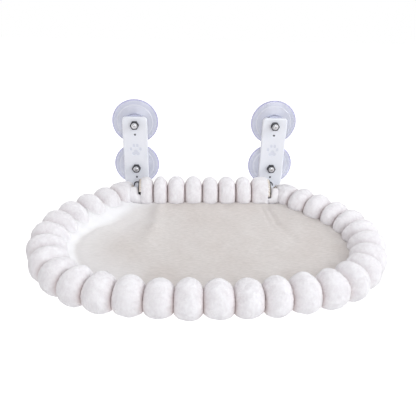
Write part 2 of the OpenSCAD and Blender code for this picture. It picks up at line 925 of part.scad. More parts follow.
module zip_tape() {
  color(plush_white) {
    translate([-zip_l / 2, zip_y - zip_tape_w / 2, teeth_top])
    cube([zip_l, zip_tape_w, zip_tape_t]);
    translate([-zip_l / 2, zip_y - zip_teeth_w / 2, teeth_bottom])
    cube([zip_l, zip_teeth_w, zip_teeth_t + zip_tape_t / 2]);
    for (side = [-1, 1]) {
      translate([side * (zip_l - end_stop_l) / 2, zip_y, (slider_bottom + teeth_top) / 2])
      cube([end_stop_l, slider_inner_w, teeth_top - slider_bottom], center = true);
    }
  }
}

// The pull swings on a small cross bar held by two cheeks under the slider
pivot_r = 0.8;
pivot_gap = 0.1;
pull_eye_r = pivot_r + pivot_gap + pull_t / 2;
cheek_t = 1.2;
cheek_w = 3;
pivot_z = slider_bottom - pull_eye_r - slider_gap;
cheek_y = pull_w / 2 + slider_gap;
module zip_slider() {
  color(steel) {
    difference() {
      translate([slider_x - slider_l / 2, zip_y - slider_outer_w / 2, slider_bottom])
      cube([slider_l, slider_outer_w, slider_top - slider_bottom]);
      translate([slider_x - slider_l / 2 - cut, zip_y - slider_inner_w / 2, teeth_bottom - slider_gap])
      cube([slider_l + 2 * cut, slider_inner_w, slider_top - teeth_bottom + slider_gap + cut]);
    }
    for (side = [-1, 1]) {
      translate([slider_x, zip_y + side * (cheek_y + cheek_t / 2), (pivot_z + slider_bottom) / 2])
      cube([cheek_w, cheek_t, slider_bottom - pivot_z + 2 * pivot_r], center = true);
    }
    translate([slider_x, zip_y - cheek_y - cheek_t / 2, pivot_z])
    rotate([-90, 0, 0])
    cylinder(r = pivot_r, h = 2 * cheek_y + cheek_t);
  }
}

module zip_pull() {
  color(steel)
  translate([slider_x, zip_y - pull_w / 2, pivot_z])
  difference() {
    union() {
      rotate([-90, 0, 0])
      cylinder(r = pull_eye_r, h = pull_w);
      translate([-pull_t / 2, 0, -pull_l])
      cube([pull_t, pull_w, pull_l]);
    }
    translate([0, -cut, 0])
    rotate([-90, 0, 0])
    cylinder(r = pivot_r + pivot_gap, h = pull_w + 2 * cut);
  }
}

cup_left_upper();
cup_left_lower();
cup_right_upper();
cup_right_lower();
stud_left_upper();
stud_left_lower();
stud_right_upper();
stud_right_lower();
nut_left_upper();
nut_left_lower();
nut_right_upper();
nut_right_lower();
plate_left();
plate_right();
foot_guide_left();
foot_guide_right();
hinge_arm_left();
hinge_arm_right();
hinge_bush_left();
hinge_bush_right();
stop_collar_left();
stop_collar_right();
lock_screws();
frame_rear_tube();
frame_bow();
rim_rear();
rim_right();
rim_front();
rim_left();
slit_binding_left();
slit_binding_right();
sleeping_mat();
sling_cloth();
zip_tape();
zip_slider();
zip_pull();
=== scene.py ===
# Window perch for a cat: a plush puffed rim, a short-pile mat, pressed steel brackets
# and clear suction cups, in metres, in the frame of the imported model.
import json
import math

import bpy
import numpy as np
from mathutils import Matrix, Vector, noise


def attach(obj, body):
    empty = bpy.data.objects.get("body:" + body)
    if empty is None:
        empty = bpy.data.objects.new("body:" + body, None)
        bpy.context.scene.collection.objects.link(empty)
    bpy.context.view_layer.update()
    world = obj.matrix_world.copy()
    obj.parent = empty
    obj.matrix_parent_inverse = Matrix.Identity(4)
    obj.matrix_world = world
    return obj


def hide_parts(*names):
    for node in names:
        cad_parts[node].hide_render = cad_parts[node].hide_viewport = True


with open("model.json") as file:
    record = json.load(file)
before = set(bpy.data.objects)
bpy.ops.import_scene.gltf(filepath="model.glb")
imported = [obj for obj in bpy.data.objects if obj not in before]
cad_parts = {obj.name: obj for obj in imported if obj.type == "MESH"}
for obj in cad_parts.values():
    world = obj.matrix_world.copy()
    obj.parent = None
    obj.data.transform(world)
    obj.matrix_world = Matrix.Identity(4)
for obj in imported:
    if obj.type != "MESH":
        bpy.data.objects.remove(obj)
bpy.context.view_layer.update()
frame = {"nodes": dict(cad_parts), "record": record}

# The axis of the fold joint, as packed
JOINT_PLACES = {j["name"]: j.get("pos_m") for j in frame["record"]["behaviour"]["joints"]}
_, AXIS_Y, AXIS_Z = JOINT_PLACES["fold"]

# The rim's half outline and its puffs, as in the part's source
SIDE_RIM_START = 0.1256
REAR_HALF = 0.126
CORNER_R = 0.030
CORNER_TURN = math.radians(47)
SIDE_RUN = 0.080
SHOULDER_R = 0.120
SHOULDER_TURN = math.radians(120.5)
FRONT_SHARE = 0.335
SIDE_PUFFS = 10
FRONT_PUFFS = 9
PUFF_OUT = 0.026
PUFF_IN = 0.024
PUFF_UP = 0.026
REAR_PUFF_UP = 0.0325
PUFF_DOWN = 0.025
SECTION_POWER = 2.15
SLIT_END_SHARE = 0.74
REAR_END_SHARE = 0.85

# Where the soft rim is irregular: the widths of the eight rear puffs and the rear ends,
# the low puffs right of the right slit, and the drift of the front puffs to the right
REAR_WIDTHS = (0.712, 0.84, 1.04, 1.07, 0.99, 0.99, 0.99, 0.98)
REAR_LEFT_END = 0.1085
REAR_RIGHT_END = 0.1080
LOW_RIGHT_UPS = (0.0200, 0.0225, 0.0235, 0.0240, 0.0250)
FRONT_DRIFT = 0.005

MAT_TOP = -0.037
MAT_BOTTOM = -0.049
SLING_T = 0.0014

# Brackets: heights above the lower cups, and places on the plates and cups
BRACKET_X = 0.119
STUD_HEIGHTS = (0.0, 0.079)
PILOT_HEIGHTS = (-0.0175, 0.0615)
PLATE_FACE_Y = -0.017
PRESSED_DEPTH = 0.0005
CUP_FRONT_Y = -0.0120
PAW_Z = (0.020, 0.050)
PLATE_PILOT_R = 0.0017
CUP_PILOT_R = 0.00125
# Radius of the painted highlight ring on the nuts
NUT_HIGHLIGHT_R = 0.0050

ZIP_Y = -0.1013
ZIP_L = 0.240
ZIP_TAPE_W = 0.024
ZIP_TAPE_T = 0.0008
ZIP_TOP = MAT_BOTTOM - SLING_T


def along_arc(place, radius, turn):
    x, y, heading = place
    return (
        x + radius * (math.sin(heading + turn) - math.sin(heading)),
        y - radius * (math.cos(heading) - math.cos(heading + turn)),
        heading + turn,
    )


def along_line(place, run):
    x, y, heading = place
    return x + run * math.cos(heading), y - run * math.sin(heading), heading


CORNER_PLACE = (REAR_HALF, AXIS_Y, 0.0)
SIDE_PLACE = along_arc(CORNER_PLACE, CORNER_R, CORNER_TURN)
SHOULDER_PLACE = along_line(SIDE_PLACE, SIDE_RUN)
FRONT_PLACE = along_arc(SHOULDER_PLACE, SHOULDER_R, SHOULDER_TURN)
FRONT_R = FRONT_PLACE[0] / math.sin(FRONT_PLACE[2])
MAT_MIDDLE_Y = (AXIS_Y + FRONT_PLACE[1]) / 2

# Distances along the rim's centre line from the rear middle, round by the right side
SIDE_S = REAR_HALF + CORNER_R * CORNER_TURN
SHOULDER_S = SIDE_S + SIDE_RUN
FRONT_S = SHOULDER_S + SHOULDER_R * SHOULDER_TURN
HALF_LENGTH = FRONT_S + FRONT_R * (math.pi - FRONT_PLACE[2])
LOOP = 2 * HALF_LENGTH
LOOP_END = LOOP - SIDE_RIM_START
SIDE_LENGTH = (LOOP_END - SIDE_RIM_START) * (1 - FRONT_SHARE) / 2
FRONT_FROM = SIDE_RIM_START + SIDE_LENGTH - FRONT_DRIFT
FRONT_TO = LOOP_END - SIDE_LENGTH - FRONT_DRIFT
RIGHT_LOBE_S = (SHOULDER_S + FRONT_S) / 2
LEFT_LOBE_S = LOOP - RIGHT_LOBE_S
# Where the puffs' inner side is fuller: the middle, the most and the spread, along the rim
LOBE_SWELLS = (
    (LEFT_LOBE_S, 0.005, 0.13),
    (LOOP - 0.225, 0.005, 0.09),
    (0.300, 0.006, 0.12),
)


def half_place(s):
    if s < REAR_HALF:
        return s, AXIS_Y, 0.0
    if s < SIDE_S:
        return along_arc(CORNER_PLACE, CORNER_R, (s - REAR_HALF) / CORNER_R)
    if s < SHOULDER_S:
        return along_line(SIDE_PLACE, s - SIDE_S)
    if s < FRONT_S:
        return along_arc(SHOULDER_PLACE, SHOULDER_R, (s - SHOULDER_S) / SHOULDER_R)
    return along_arc(FRONT_PLACE, FRONT_R, (s - FRONT_S) / FRONT_R)


def place_at(s):
    """Place and heading at a distance s along the rim's centre line."""
    if 0 <= s <= HALF_LENGTH:
        return half_place(s)
    x, y, heading = half_place(-s if s < 0 else LOOP - s)
    return -x, y, -heading


def beside(place, reach):
    """The point at a distance away from the bed, from a place on the centre line."""
    x, y, heading = place
    return x + math.sin(heading) * reach, y + math.cos(heading) * reach


def between(first, second, share):
    """The point at a share of the way from one point to another."""
    return first[0] + (second[0] - first[0]) * share, first[1] + (second[1] - first[1]) * share


def clamped(share):
    return min(1.0, max(0.0, share))


def ease(share):
    """A share held between 0 and 1 and eased at both ends."""
    held = clamped(share)
    return held * held * (3 - 2 * held)


def hump(distance, spread):
    return math.exp(-((distance / spread) ** 2))


# Materials

BLACK = (0, 0, 0)
WHITE = (1, 1, 1)
# Painted shade: near black for the pilot holes and a bluer grey for the pressed paw
PILOT_HOLE_SHADE_COLOR = (0.02, 0.02, 0.03, 1)
PRESSED_PAW_SHADE_COLOR = (0.75, 0.78, 0.865, 1)
# Painted highlight: the light ring on the nuts' faces
PAINTED_HIGHLIGHT_COLOR = (0.82, 0.83, 0.85, 1)
# Bands of colour: a share of the whole and the colour there
# Painted shade in the creases between puffs, from white to pinkish brown
PUFF_SHADE = [
    (0.0, WHITE), (0.25, (0.97, 0.945, 0.94)),
    (0.6, (0.84, 0.77, 0.75)), (1.0, (0.52, 0.43, 0.41)),
]
# Rings round the stud's axis, from it out to the band's radius
STUD_END_BAND_R = 0.004
STUD_END_RINGS = [
    (0.0, (0.80, 0.81, 0.83)), (0.25, (0.45, 0.45, 0.47)),
    (0.42, (0.85, 0.86, 0.88)), (0.8, (0.9, 0.9, 0.92)),
]
# The cups' rings round the stud: the lavender tint is the vinyl's own, the light ring on the step is a
# painted highlight and the dark ring at the rim is painted shade
CUP_BAND_R = 0.040
CUP_TINT_AND_PAINTED_LIGHT = [
    (0.0, (0.66, 0.69, 0.86)), (0.42, (0.66, 0.69, 0.86)),
    (0.46, (0.68, 0.70, 0.80)), (0.72, (0.70, 0.72, 0.81)),
    (0.75, (0.80, 0.82, 0.88)), (0.79, (0.67, 0.69, 0.80)),
    (0.92, (0.73, 0.75, 0.86)), (0.96, (0.50, 0.50, 0.78)),
]
# Radians that a wave texture of scale 1 turns in a metre
WAVE_TURN = 20
# The scale at which those waves are 1.25 mm apart, as an M8 thread is
THREAD_SCALE = 251.0
MATERIALS = {}


def shader(name, color, roughness, metallic=0.0, **constants):
    """Starts a material, kept by its name, and gives its node tree."""
    material = bpy.data.materials.new(name)
    material.use_nodes = True
    tree = material.node_tree
    constants |= {"Base Color": (*color, 1), "Roughness": roughness, "Metallic": metallic}
    for label, value in constants.items():
        tree.nodes["Principled BSDF"].inputs[label.replace("_", " ")].default_value = value
    MATERIALS[name] = material
    return tree


def node(tree, kind, inputs=None, **settings):
    made = tree.nodes.new("ShaderNode" + kind)
    for label, value in settings.items():
        setattr(made, label, value)
    for label, value in (inputs or {}).items():
        socket = made.inputs[label]
        if isinstance(value, bpy.types.NodeSocket):
            tree.links.new(value, socket)
        else:
            socket.default_value = value
    return made


def feed(tree, label, output):
    tree.links.new(output, tree.nodes["Principled BSDF"].inputs[label])


def object_place(tree):
    return node(tree, "TexCoord").outputs["Object"]


def object_value(tree, axis):
    """The object coordinate on one axis."""
    return node(tree, "SeparateXYZ", {0: object_place(tree)}).outputs[axis]


def result_of(tree, kind, first, second=0.0):
    return node(tree, "Math", {0: first, 1: second}, operation=kind).outputs[0]


def stretched(tree, scale):
    """Object coordinates with their own scale on each axis."""
    return node(tree, "Mapping", {"Vector": object_place(tree), "Scale": scale}).outputs[0]


def noise_height(tree, scale, detail=3.0, stretch=(1, 1, 1)):
    inputs = {"Vector": stretched(tree, stretch), "Scale": scale, "Detail": detail}
    return node(tree, "TexNoise", inputs).outputs["Fac"]


def banded(tree, value, stops):
    """A colour that runs through stops of a position and a colour."""
    made = node(tree, "ValToRGB", {"Fac": value})
    band = made.color_ramp
    while len(band.elements) < len(stops):
        band.elements.new(1.0)
    for element, (position, color) in zip(band.elements, stops):
        element.position = position
        element.color = (*color, 1)
    return made.outputs["Color"]


def mottled(tree, scale, dark, light, detail=3, stretch=(1, 1, 1)):
    """A noise of two colours."""
    return banded(tree, noise_height(tree, scale, detail, stretch), [(0.3, dark), (0.7, light)])


def mottled_grey(tree, scale, low, high):
    return mottled(tree, scale, (low,) * 3, (high,) * 3)


def mixed(tree, share, first, second, blend="MIX"):
    inputs = {0: share, 6: first, 7: second}
    return node(tree, "Mix", inputs, data_type="RGBA", blend_type=blend).outputs[2]


def multiplied(tree, first, second):
    return mixed(tree, 1.0, first, second, "MULTIPLY")


def bumped(tree, height, strength, distance, below=None):
    inputs = {"Height": height, "Strength": strength, "Distance": distance}
    if below is not None:
        inputs["Normal"] = below
    return node(tree, "Bump", inputs).outputs["Normal"]


def grainy(tree, scale, strength, distance, below=None, detail=2, stretch=(1, 1, 1)):
    """A relief of noise, over another relief where one is given."""
    return bumped(tree, noise_height(tree, scale, detail, stretch), strength, distance, below)


def attribute_value(tree, label):
    return node(tree, "Attribute", attribute_name=label).outputs["Fac"]


def bracket_distance(tree, heights):
    """Distance across the window from the nearest bracket's line at two heights."""
    aside = result_of(tree, "SUBTRACT", result_of(tree, "ABSOLUTE", object_value(tree, "X")), BRACKET_X)
    offsets = []
    for height in heights:
        offset = result_of(tree, "SUBTRACT", object_value(tree, "Z"), height)
        offsets.append(result_of(tree, "ABSOLUTE", offset))
    upward = result_of(tree, "MINIMUM", *offsets)
    squares = [result_of(tree, "MULTIPLY", side, side) for side in (aside, upward)]
    return result_of(tree, "SQRT", result_of(tree, "ADD", *squares))


def inside(tree, value, limit, fade):
    """1 below a limit, falling to 0 over a short fade."""
    ends = {"From Min": limit, "From Max": limit + fade, "To Min": 1.0, "To Max": 0.0}
    return node(tree, "MapRange", {"Value": value, **ends}).outputs[0]


def beyond(tree, value, limit, fade):
    """0 below a limit less a short fade, rising to 1 at the limit."""
    return inside(tree, result_of(tree, "MULTIPLY", value, -1.0), -limit, fade)


def front_share(tree):
    """1 on faces that look along the studs and 0 on their sides."""
    normal = node(tree, "NewGeometry").outputs["Normal"]
    parts = node(tree, "SeparateXYZ", {0: normal})
    return result_of(tree, "ABSOLUTE", parts.outputs["Y"])


def plush_material():
    """Long white fleece: clumps, strokes, and a painted pinkish-brown shade in the creases where the
    puffs meet.
    """
    tree = shader("plush", (0.93, 0.92, 0.94), 0.95, Sheen_Weight=0.35, Sheen_Roughness=0.45)
    inputs = {"Vector": stretched(tree, (1, 1, 0.7)), "Scale": 70, "Detail": 5, "Distortion": 1.4}
    clumps = node(tree, "TexNoise", inputs).outputs["Fac"]
    patches = banded(tree, clumps, [(0.32, (0.865, 0.85, 0.87)), (0.66, (0.95, 0.95, 0.97))])
    strokes = mottled(tree, 330, (0.93, 0.92, 0.93), WHITE, 2, (1, 1, 0.35))
    # The crease attribute says how much painted shade each point gets
    shade = banded(tree, attribute_value(tree, "crease"), PUFF_SHADE)
    feed(tree, "Base Color", multiplied(tree, multiplied(tree, patches, strokes), shade))
    tufts = grainy(tree, 420, 0.5, 0.0012, bumped(tree, clumps, 0.35, 0.003), 4)
    feed(tree, "Normal", grainy(tree, 1500, 0.5, 0.0005, tufts))


def pile_material():
    tree = shader("plush_pile", (0.95, 0.945, 0.95), 0.9, Sheen_Weight=0.3)
    feed(tree, "Base Color", mottled(tree, 120, (0.90, 0.89, 0.90), (0.97, 0.965, 0.97)))


def mat_material():
    """Short cream pile with a nap in rows; white where the margin climbs the rim, and a painted glow of
    light on the mat beside it.
    """
    tree = shader("mat_pile", (0.66, 0.63, 0.61), 0.95, Sheen_Weight=0.25, Sheen_Roughness=0.4)
    creams = [(0.35, (0.685, 0.64, 0.615)), (0.65, (0.725, 0.69, 0.67))]
    patches = banded(tree, noise_height(tree, 16), creams)
    nap = noise_height(tree, 560, 3, (0.28, 1.5, 1))
    rows = banded(tree, nap, [(0.34, (0.87, 0.87, 0.86)), (0.66, WHITE)])
    pale = mottled(tree, 60, (0.91, 0.915, 0.93), (0.96, 0.965, 0.98))
    cream = multiplied(tree, patches, rows)
    # The white attribute holds the margin's white and the painted glow of light beside it
    feed(tree, "Base Color", mixed(tree, attribute_value(tree, "white"), cream, pale))
    tufts = grainy(tree, 420, 0.6, 0.0010, None, 4, (0.3, 1.3, 1))
    feed(tree, "Normal", grainy(tree, 1800, 0.4, 0.0004, tufts))


def weave_material(name, light, dark, pitch, strength=0.5):
    """Plain weave: two sets of threads that cross, in object space."""
    tree = shader(name, light, 0.9, Sheen_Weight=0.15)
    inputs = {"Vector": object_place(tree), "Scale": math.pi / pitch / WAVE_TURN, "Distortion": 0.4}
    threads = [node(tree, "TexWave", inputs, bands_direction=way).outputs["Fac"] for way in ("X", "Y")]
    height = result_of(tree, "MULTIPLY", *threads)
    grain = banded(tree, height, [(0.0, dark), (0.5, light)])
    fade = mottled(tree, 30, (0.93, 0.93, 0.93), WHITE)
    feed(tree, "Base Color", multiplied(tree, grain, fade))
    feed(tree, "Normal", bumped(tree, height, strength, 0.0004))


def coat_material():
    """Satin white coat, with painted shade: a bluer grey in the pressed paw and near black in the pilot
    holes.
    """
    tree = shader("white_coat", (0.83, 0.86, 0.92), 0.34, Coat_Weight=0.2, Coat_Roughness=0.2)
    tone = mottled(tree, 45, (0.84, 0.87, 0.935), (0.88, 0.90, 0.955))
    # The photograph looks along +Y, so what is pressed in lies at a greater Y than the face
    sunk = beyond(tree, object_value(tree, "Y"), PLATE_FACE_Y + PRESSED_DEPTH, 0.0004)
    above = beyond(tree, object_value(tree, "Z"), PAW_Z[0], 0.001)
    below = inside(tree, object_value(tree, "Z"), PAW_Z[1], 0.001)
    paw_shade = result_of(tree, "MULTIPLY", sunk, result_of(tree, "MULTIPLY", above, below))
    # Painted shade: the pressed paw is a bluer grey than the face
    tone = mixed(tree, paw_shade, tone, PRESSED_PAW_SHADE_COLOR)
    # Painted shade: near black in the pilot holes
    pilot_shade = inside(tree, bracket_distance(tree, PILOT_HEIGHTS), PLATE_PILOT_R, 0.0001)
    feed(tree, "Base Color", mixed(tree, pilot_shade, tone, PILOT_HOLE_SHADE_COLOR))
    feed(tree, "Normal", grainy(tree, 1400, 0.12, 0.0002))


def nickel_material():
    """Dark nickel with a painted highlight: a light ring round the stud, on the faces that look along
    it.
    """
    tree = shader("nickel_steel", (0.10, 0.10, 0.12), 0.25, 0.8)
    ring = inside(tree, bracket_distance(tree, STUD_HEIGHTS), NUT_HIGHLIGHT_R, 0.0002)
    face = banded(tree, front_share(tree), [(0.9, BLACK), (0.97, WHITE)])
    # Painted highlight, on the front faces only
    painted_highlight = result_of(tree, "MULTIPLY", ring, face)
    dull = mottled(tree, 500, (0.022, 0.022, 0.028), (0.05, 0.05, 0.06))
    feed(tree, "Base Color", mixed(tree, painted_highlight, dull, PAINTED_HIGHLIGHT_COLOR))
    feed(tree, "Roughness", mottled_grey(tree, 900, 0.22, 0.38))
    feed(tree, "Normal", grainy(tree, 2600, 0.15, 0.0002))


def thread_material():
    """Bright studs: rings for the thread along them, bumped and with painted shade in the grooves, and
    rings on the end.
    """
    tree = shader("stud_steel", (0.70, 0.71, 0.74), 0.22, 1.0)
    inputs = {"Vector": object_place(tree), "Scale": THREAD_SCALE}
    thread = node(tree, "TexWave", inputs, bands_direction="Y").outputs["Fac"]
    # Painted shade: the thread's rings are dark in the grooves
    side = banded(tree, thread, [(0.2, (0.20, 0.20, 0.22)), (0.7, (0.74, 0.75, 0.78))])
    flat = banded(tree, front_share(tree), [(0.6, BLACK), (0.9, WHITE)])
    distance = bracket_distance(tree, STUD_HEIGHTS)
    end = banded(tree, result_of(tree, "MULTIPLY", distance, 1 / STUD_END_BAND_R), STUD_END_RINGS)
    feed(tree, "Base Color", mixed(tree, flat, side, end))
    feed(tree, "Normal", bumped(tree, thread, 0.6, 0.0005))


def steel_material():
    tree = shader("plain_steel", (0.60, 0.61, 0.63), 0.3, 1.0)
    feed(tree, "Base Color", mottled(tree, 300, (0.50, 0.51, 0.54), (0.66, 0.67, 0.68), 4))
    feed(tree, "Roughness", mottled_grey(tree, 1100, 0.24, 0.42))


def dark_material(name, color, roughness, metallic=0.0):
    tree = shader(name, color, roughness, metallic)
    brighter = tuple(1.6 * c + 0.01 for c in color)
    feed(tree, "Base Color", mottled(tree, 500, color, brighter))
    feed(tree, "Normal", grainy(tree, 2000, 0.3, 0.0002))


def nylon_material():
    tree = shader("bush_plastic", (0.86, 0.85, 0.80), 0.5)
    feed(tree, "Base Color", mottled(tree, 200, (0.82, 0.81, 0.76), (0.88, 0.87, 0.83), 2))
    feed(tree, "Normal", grainy(tree, 1500, 0.1, 0.0002))


def vinyl_material():
    """Soft clear vinyl with a lavender cast, a little hazy, with a painted highlight on its step,
    painted shade at its rim and painted shade behind the pilot holes.
    """
    tree = shader("clear_vinyl", (0.80, 0.83, 0.95), 0.16, IOR=1.45, Transmission_Weight=0.6)
    feed(tree, "Roughness", mottled_grey(tree, 60, 0.12, 0.22))
    distance = bracket_distance(tree, STUD_HEIGHTS)
    rings = banded(tree, result_of(tree, "MULTIPLY", distance, 1 / CUP_BAND_R), CUP_TINT_AND_PAINTED_LIGHT)
    cloud = mottled(tree, 35, (0.90, 0.90, 0.91), WHITE)
    tone = multiplied(tree, rings, cloud)
    # Painted shade: dark on the cup's front behind each pilot hole
    hole_shade = inside(tree, bracket_distance(tree, PILOT_HEIGHTS), CUP_PILOT_R, 0.0001)
    front = inside(tree, object_value(tree, "Y"), CUP_FRONT_Y, 0.0002)
    pilot_shade = result_of(tree, "MULTIPLY", hole_shade, front)
    feed(tree, "Base Color", mixed(tree, pilot_shade, tone, PILOT_HOLE_SHADE_COLOR))
    feed(tree, "Normal", grainy(tree, 120, 0.15, 0.0006))


for make_material in (
    vinyl_material, coat_material, nickel_material, thread_material, steel_material,
    nylon_material, plush_material, pile_material, mat_material,
):
    make_material()
# black_steel darkens the stop collars so that the slit's gap reads dark: painted shade
dark_material("black_steel", (0.03, 0.03, 0.035), 0.35, 0.6)
dark_material("black_rubber", (0.03, 0.03, 0.04), 0.6)
# A near-black band in the rear slits, painted shade for the gap there
dark_material("backing_weave", (0.018, 0.017, 0.02), 0.8)
weave_material("sling_weave", (0.83, 0.81, 0.78), (0.75, 0.725, 0.695), 0.0016, 0.3)
weave_material("edge_tape", (0.86, 0.82, 0.76), (0.68, 0.60, 0.52), 0.0012)
# Painted shade: brown on the tape's two edges
weave_material("tape_edge_shade", (0.50, 0.38, 0.29), (0.28, 0.19, 0.13), 0.0008)
weave_material("zip_weave", (0.86, 0.85, 0.82), (0.70, 0.68, 0.65), 0.0012)


def dress_cad_nodes():
    for subpart in frame["record"]["subparts"]:
        name = subpart["node"]
        slot = "stud_steel" if name.startswith("stud_") else subpart["material_slot"]
        held = frame["nodes"][name]
        if not held.material_slots:
            held.data.materials.append(MATERIALS[slot])
        for holder in held.material_slots:
            holder.material = MATERIALS[slot]


# Pieces

def new_object(name, data):
    made = bpy.data.objects.new(name, data)
    bpy.context.scene.collection.objects.link(made)
    return made


def new_piece(name, points, faces, slot, material=None, smooth=True):
    """A piece on the bed, in its slot's material unless another is named."""
    mesh = bpy.data.meshes.new(name)
    mesh.from_pydata([tuple(p) for p in points], [], faces)
    mesh.validate()
    mesh.update()
    for face in mesh.polygons:
        face.use_smooth = smooth
    mesh.materials.append(MATERIALS[material or slot])
    piece = new_object(name, mesh)
    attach(piece, "bed")
    return piece


def store(piece, label, values):
    """Keeps one number for each point of a piece, for its material."""
    attribute = piece.data.attributes.new(label, "FLOAT", "POINT")
    attribute.data.foreach_set("value", np.asarray(values, dtype=np.float32))


def point_array(data):
    """The places of a mesh's points, one after another."""
    values = np.empty(len(data.vertices) * 3)
    data.vertices.foreach_get("co", values)
    return values


def wall_faces(upper, lower, count):
    """Quads from a closed ring of points down to another, each given by its first point."""
    after = [(k + 1) % count for k in range(count)]
    return [(upper + k, upper + after[k], lower + after[k], lower + k) for k in range(count)]


def grid_faces(rows, columns, closed_rows=False):
    """Quads between rings of points, the other way round from a wall's."""
    faces = []
    for i in range(rows if closed_rows else rows - 1):
        wall = wall_faces(i * columns, ((i + 1) % rows) * columns, columns)
        faces += [(a, d, c, b) for a, b, c, d in wall]
    return faces


def flipped(faces):
    return [(b, a, d, c) for a, b, c, d in faces]


def shifted(faces, start):
    return [tuple(start + i for i in face) for face in faces]


def cap_faces(top_ring, bottom_ring, count, centre):
    """Triangles that close the top and the bottom ring to the two centre points."""
    faces = []
    for k in range(count):
        after = (k + 1) % count
        faces.append((top_ring + k, top_ring + after, centre))
        faces.append((bottom_ring + after, bottom_ring + k, centre + 1))
    return faces


def lumps(point, scale):
    return noise.noise(Vector(point) * scale)


# Puffs: points round the rim and steps along a puff, the bore that the tube runs in,
# and the gathers round each crease
RIM_SIDES = 80
PUFF_STEPS = 18
CHANNEL_R = 0.0085
REAR_CHANNEL_R = 0.0104
GATHERS = 19
GATHER_DEPTH = 0.0007
# Angle at which the puffs part the most, on top towards the mat
PARTING_ANGLE = math.radians(112)
DEEP_CREASE = 0.38
SHALLOW_CREASE = 0.57


def lobe_swell(s):
    """How much fuller the inner side is at a place on the rim."""
    s = s % LOOP
    return sum(most * hump(s - middle, spread) for middle, most, spread in LOBE_SWELLS)


def section_point(angle, up, inner=PUFF_IN):
    """Reach and rise of a full puff's section at an angle up from outward."""
    c, s = math.cos(angle), math.sin(angle)
    c = math.copysign(abs(c) ** (2 / SECTION_POWER), c)
    s = math.copysign(abs(s) ** (2 / SECTION_POWER), s)
    return (PUFF_OUT if c > 0 else inner) * c, (up if s > 0 else PUFF_DOWN) * s


def parting_at(angle):
    return 0.5 + 0.5 * math.cos(angle - PARTING_ANGLE)


def puff_swell(u, angle, flatter):
    """The crease's share and the swell at a share u of a puff's length."""
    parting = parting_at(angle)
    crease = SHALLOW_CREASE + (DEEP_CREASE - SHALLOW_CREASE) * parting
    dome = 0.44 if flatter else 0.52 + 0.10 * parting
    return crease, max(0.0, 1 - abs(2 * u - 1) ** 2) ** dome


